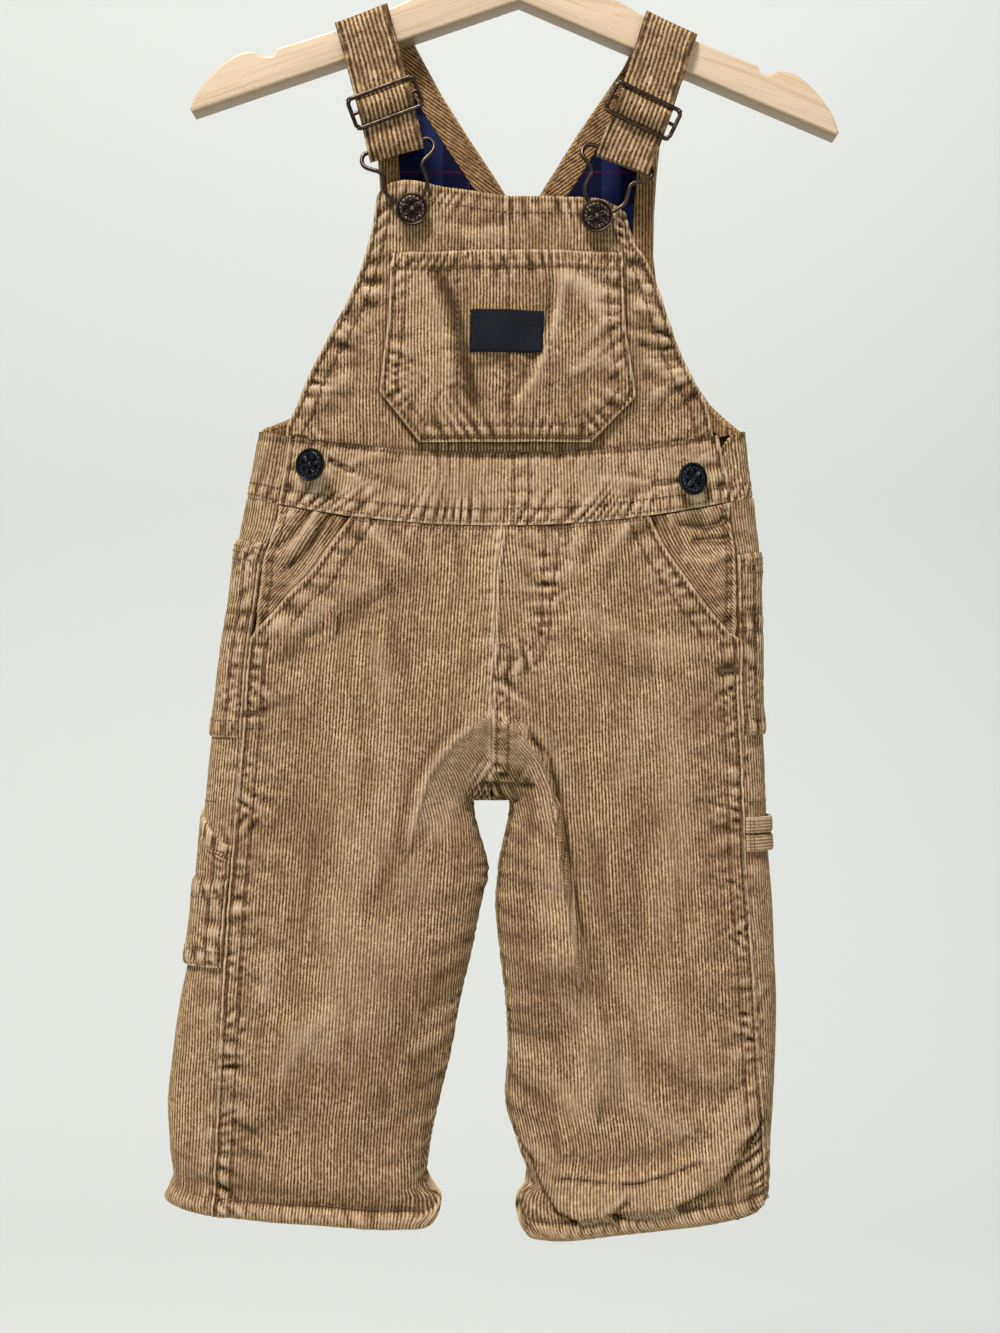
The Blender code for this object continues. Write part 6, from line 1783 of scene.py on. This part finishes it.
def makeButton(name, node, x, y, z, turnOut, material, turnBy):
    radii = np.linspace(0.02, buttonLook["radius"] - 0.25, buttonLook["rings"])
    angles = np.linspace(0, 2 * math.pi, buttonLook["turns"], endpoint=False)
    rings = [(r, *buttonRelief(r, angles, turnBy)) for r in radii]
    rings += [(r, np.full(len(angles), h), np.full(len(angles), 0.4)) for r, h in profileLow]
    points, weaves = [], []
    for r, heights, wear in rings:
        points += [(r * math.cos(a), r * math.sin(a), h) for a, h in zip(angles, heights)]
        weaves += [(0, 0, level) for level in wear]
    count = len(angles)
    faces = [tuple(range(count))[::-1]]
    for k in range(len(rings) - 1):
        for j in range(count):
            n = (j + 1) % count
            faces.append((k * count + j, k * count + n, (k + 1) * count + n, (k + 1) * count + j))
    faces.append(tuple((len(rings) - 1) * count + j for j in range(count)))
    mesh = bpy.data.meshes.new(name)
    mesh.from_pydata([tuple(c * mm for c in p) for p in points], [], faces)
    writeVectors(mesh, "weave", weaves)
    face = np.array([math.sin(turnOut), -math.cos(turnOut), 0])
    turn = Matrix.Rotation(turnOut, 4, "Z") @ Matrix.Rotation(math.radians(90), 4, "X")
    mesh.transform(Matrix.Translation(Vector(place(np.array([x, y, z]) + face * 3.4))) @ turn)
    roundOff(mesh, buttonLook["sharp"])
    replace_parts(addPiece(name, mesh, material), node)


for strap in straps:
    x, z = strap["button"]
    y = float(bibY(np.array([x]), np.array([z]))[0]) - 0.7
    makeButton(f"{strap['name']}_bib_button", f"bib_button_{strap['name']}", x, y, z, 0.0, wornBronze,
               strap["turn"] * 0.4)
for side, x, z, turnBy in ((right, -85.1, 155.4, 0.9), (left, 86.5, 148.9, 0.2)):
    seat = skin(side, angleAt(side, np.array([x]), np.array([z])), np.array([z]))[0, 1]
    makeButton(f"{side['name']}_side_button", f"side_button_{side['name']}", x, seat - 1.1, z,
               -side["sign"] * math.radians(24), gunmetal, turnBy)
print("fittings made")

# Two beech arms, sanded and lacquered clear: pale and smooth with fine long grain.
# under is the colour of the painted shade on the faces that turn down
woodLook = {"pale": "#cab698", "mid": "#b69d7a", "line": "#9c7d58", "under": "#7d6444", "roughness": 0.38,
            # noise frequency per mm along the arm, across it and in depth: grain, then flecks
            "grain": [((0.012, 0.55, 0.4), {"Detail": 6.0, "Roughness": 0.6}),
                      ((0.45, 2.6, 2.0), {"Detail": 2.0})]}
hangerShape = {"slope": math.atan2(28.8, 75), "bevel": 1.3, "bevelSteps": 4, "sharp": 40}
hangerOutline = [(0, 18), (20, 12.8), (45.7, 1.8), (57, -4.0), (81, -14.8), (104, -23.3), (112.6, -26.2),
                 (114.2, -30.0), (118.4, -30.2), (122, -28.0), (128.5, -28.8), (135, -32.6), (142, -39.4),
                 (148, -47.5), (151.5, -56), (150.4, -57.6), (75, -28.8), (0, 0)]
hangerCorners = {6, 7, 8, 9, 14, 15, 17}  # points of the outline that stay sharp
hangerFrame = (Matrix.Translation(Vector(place((hanger["x"], 0, hanger["z"]))))
               @ Matrix.Rotation(hanger["tilt"], 4, "Y"))


def woodMaterial():
    look = woodLook
    material, tree, shader = newMaterial("lacquered_beech")
    weave = addNode(tree, "Attribute", {"attribute_name": "weave"}).outputs["Vector"]
    grain, fleck = (addNode(tree, "TexNoise", {"Scale": 1.0, **noise}, {"Vector": addNode(
        tree, "VectorMath", {"operation": "MULTIPLY", 1: size}, {0: weave})})
        for size, noise in look["grain"])
    ramp = addNode(tree, "ValToRGB", {"stops": [(0.3, look["mid"]), (0.52, look["pale"]),
                                                (0.72, look["mid"])]}, {0: grain})
    spots = addNode(tree, "MapRange", {"From Min": 0.6, "From Max": 0.75, "To Min": 0.0, "To Max": 0.5},
                    {"Value": fleck})
    # painted shade: the faces that turn down are darkened towards brown
    raw = addNode(tree, "Attribute", {"attribute_name": "raw"})
    colour = ramp.outputs[0]
    for share, key in ((spots, "line"), (raw.outputs["Fac"], "under")):
        colour = addNode(tree, "Mix", {"data_type": "RGBA", 7: linear(look[key])},
                         {0: share, 6: colour}).outputs[2]
    bump = addNode(tree, "Bump", {"Strength": 0.12, "Distance": 0.0002}, {"Height": grain})
    setUp(tree, shader, {"Roughness": look["roughness"], "Coat Weight": 0.25, "Coat Roughness": 0.3},
          {"Base Color": colour, "Normal": bump})
    return material


def smoothOutline(points, keep):
    # a smooth run through the points, with corners kept where asked
    runs, run = [], [points[0]]
    for k, spot in enumerate(points[1:], 1):
        run.append(spot)
        if k in keep or k == len(points) - 1:
            runs.append(run)
            run = [spot]
    found = []
    for part in runs:
        dense = throughPoints([(x, 0, z) for x, z in part], 1.5) if len(part) > 2 else np.array(
            [(x, 0, z) for x, z in part], float)
        found += [(p[0], p[2]) for p in dense[:-1]]
    return found + [points[-1]]


arm = smoothOutline(hangerOutline, hangerCorners)
outline = arm + [(-x, z) for x, z in arm[-2:0:-1]]
mesh = bpy.data.meshes.new("wooden_hanger")
bm = bmesh.new()
loops = [[bm.verts.new((x * mm, depth * mm, z * mm)) for x, z in outline]
         for depth in (-hanger["depth"] / 2, hanger["depth"] / 2)]
bm.faces.new(loops[0])
bm.faces.new(loops[1][::-1])
for k in range(len(outline)):
    n = (k + 1) % len(outline)
    bm.faces.new((loops[0][n], loops[0][k], loops[1][k], loops[1][n]))
bmesh.ops.recalc_face_normals(bm, faces=bm.faces)
rims = [e for e in bm.edges if abs(e.verts[0].co.y - e.verts[1].co.y) < 1e-6]
bmesh.ops.bevel(bm, geom=rims, offset=hangerShape["bevel"] * mm, segments=hangerShape["bevelSteps"],
                profile=0.5, affect="EDGES")
bmesh.ops.recalc_face_normals(bm, faces=bm.faces)
bm.to_mesh(mesh)
bm.free()
cosine, sine = math.cos(hangerShape["slope"]), math.sin(hangerShape["slope"])
weaves = []
for vertex in mesh.vertices:
    x, y, z = vertex.co / mm
    weaves.append(((abs(x) * cosine - z * sine) * (1 if x > 0 else -1), abs(x) * sine + z * cosine, y))
writeVectors(mesh, "weave", weaves)
# how far each place faces down, for the painted shade on the underside
attribute = mesh.attributes.new("raw", "FLOAT", "POINT")
attribute.data.foreach_set("value", [0.85 * float(smooth(-0.55, -0.95, vertex.normal.z))
                                     for vertex in mesh.vertices])
mesh.transform(hangerFrame)
roundOff(mesh, hangerShape["sharp"])
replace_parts(addPiece("wooden_hanger", mesh, woodMaterial()), "hanger_wood")

foot = hanger["top"] + 0.3
hookPoints = [(0, foot), (0, foot + 6), (0.6, foot + 10), (3, foot + 14)]
for degrees in range(-50, 216, 10):
    angle = math.radians(degrees)
    hookPoints.append((hanger["hookRadius"] * math.cos(angle),
                       hanger["hookCentre"] + hanger["hookRadius"] * math.sin(angle)))
inGarment = []
for x, z in hookPoints:
    spot = hangerFrame @ Vector((x * mm, 0, z * mm))
    inGarment.append(np.array(spot) / mm + np.array([hookX, 0, hookZ]))
# Steel wire, nickel plated and drawn smooth: bright with faint lines along it.
steel = platedMaterial("nickel_plated_wire")
wire("hanger_hook_wire", inGarment, hanger["wire"], False, steel, "hanger_hook")

# the fly's curved rows and bartacks, then every stitch as one piece
panel = frontPanels["left"]
for line in flyLines:
    smoothLine = throughPoints([(x, 0, z) for x, z in line], 2.0)
    stitchRun(panel, panel.toCloth([(p[0], p[2]) for p in smoothLine]))
bartacks(panel, ([(17.0, 81.5), (22.8, 80.5)], [(-0.6, 72.0), (5.6, 71.5)]), (0.0, 0.55, 1.1))
for name, store in threads.items():
    mesh = bpy.data.meshes.new(f"{name}_stitches")
    mesh.from_pydata(place(np.concatenate(store["points"])).tolist(), [], store["faces"])
    mesh.shade_smooth()
    addPiece(f"{name}_stitches", mesh, threadMaterial(name))
    print(name, "stitches", len(store["faces"]) // 12)

# A matt white floor that bends up into a wall well behind, in one sweep.
sweep = {"wall": 1900.0, "floor": -560.0, "radius": 900.0, "front": -2600.0, "top": 2600.0, "half": 3600.0}
backdrop = [(sweep["front"], sweep["floor"]), (sweep["wall"] - sweep["radius"], sweep["floor"])]
backdrop += [(sweep["wall"] - sweep["radius"] * (1 - math.sin(t)),
              sweep["floor"] + sweep["radius"] * (1 - math.cos(t)))
             for t in np.linspace(0, math.pi / 2, 24)[1:]]
backdrop.append((sweep["wall"], sweep["top"]))
floorMaterial, tree, shader = newMaterial("matt_white_paint")
setUp(tree, shader, {"Base Color": linear("#cccfcf"), "Roughness": 0.9})
mesh = bpy.data.meshes.new("floor")
mesh.from_pydata([tuple(place((side * sweep["half"], y, z))) for y, z in backdrop for side in (-1, 1)], [],
                 [(2 * k, 2 * k + 1, 2 * k + 3, 2 * k + 2) for k in range(len(backdrop) - 1)])
mesh.shade_smooth()
floor = bpy.data.objects.new("floor", mesh)
floor.data.materials.append(floorMaterial)
bpy.context.collection.objects.link(floor)

world = bpy.data.worlds.new("studio")
bpy.context.scene.world = world
world.use_nodes = True
world.node_tree.nodes["Background"].inputs["Color"].default_value = linear("#eef2f4")
world.node_tree.nodes["Background"].inputs["Strength"].default_value = 0.26
# name, place in mm, size in m, power in W, colour
lamps = [("key", (-1100, -2050, 3650), 1.15, 262, "#fffbf3"), ("fill", (900, -2200, 300), 1.6, 12, "#f1f5ff"),
         ("back", (500, 900, 1300), 1.6, 3, "#ffffff")]
for name, spot, size, power, colour in lamps:
    lamp = bpy.data.lights.new(name, "AREA")
    lamp.shape = "DISK"
    lamp.size = size
    lamp.energy = power
    lamp.color = linear(colour)[:3]
    lampObject = bpy.data.objects.new(name, lamp)
    lampObject.location = Vector(place(spot))
    aim = Vector(place((0, 0, 60))) - lampObject.location
    if name == "back":
        aim = Vector(place((0, sweep["wall"], -100))) - lampObject.location
    lampObject.rotation_euler = aim.to_track_quat("-Z", "Y").to_euler()
    bpy.context.collection.objects.link(lampObject)
bpy.context.scene.view_settings.view_transform = "Standard"

print("scene ready")
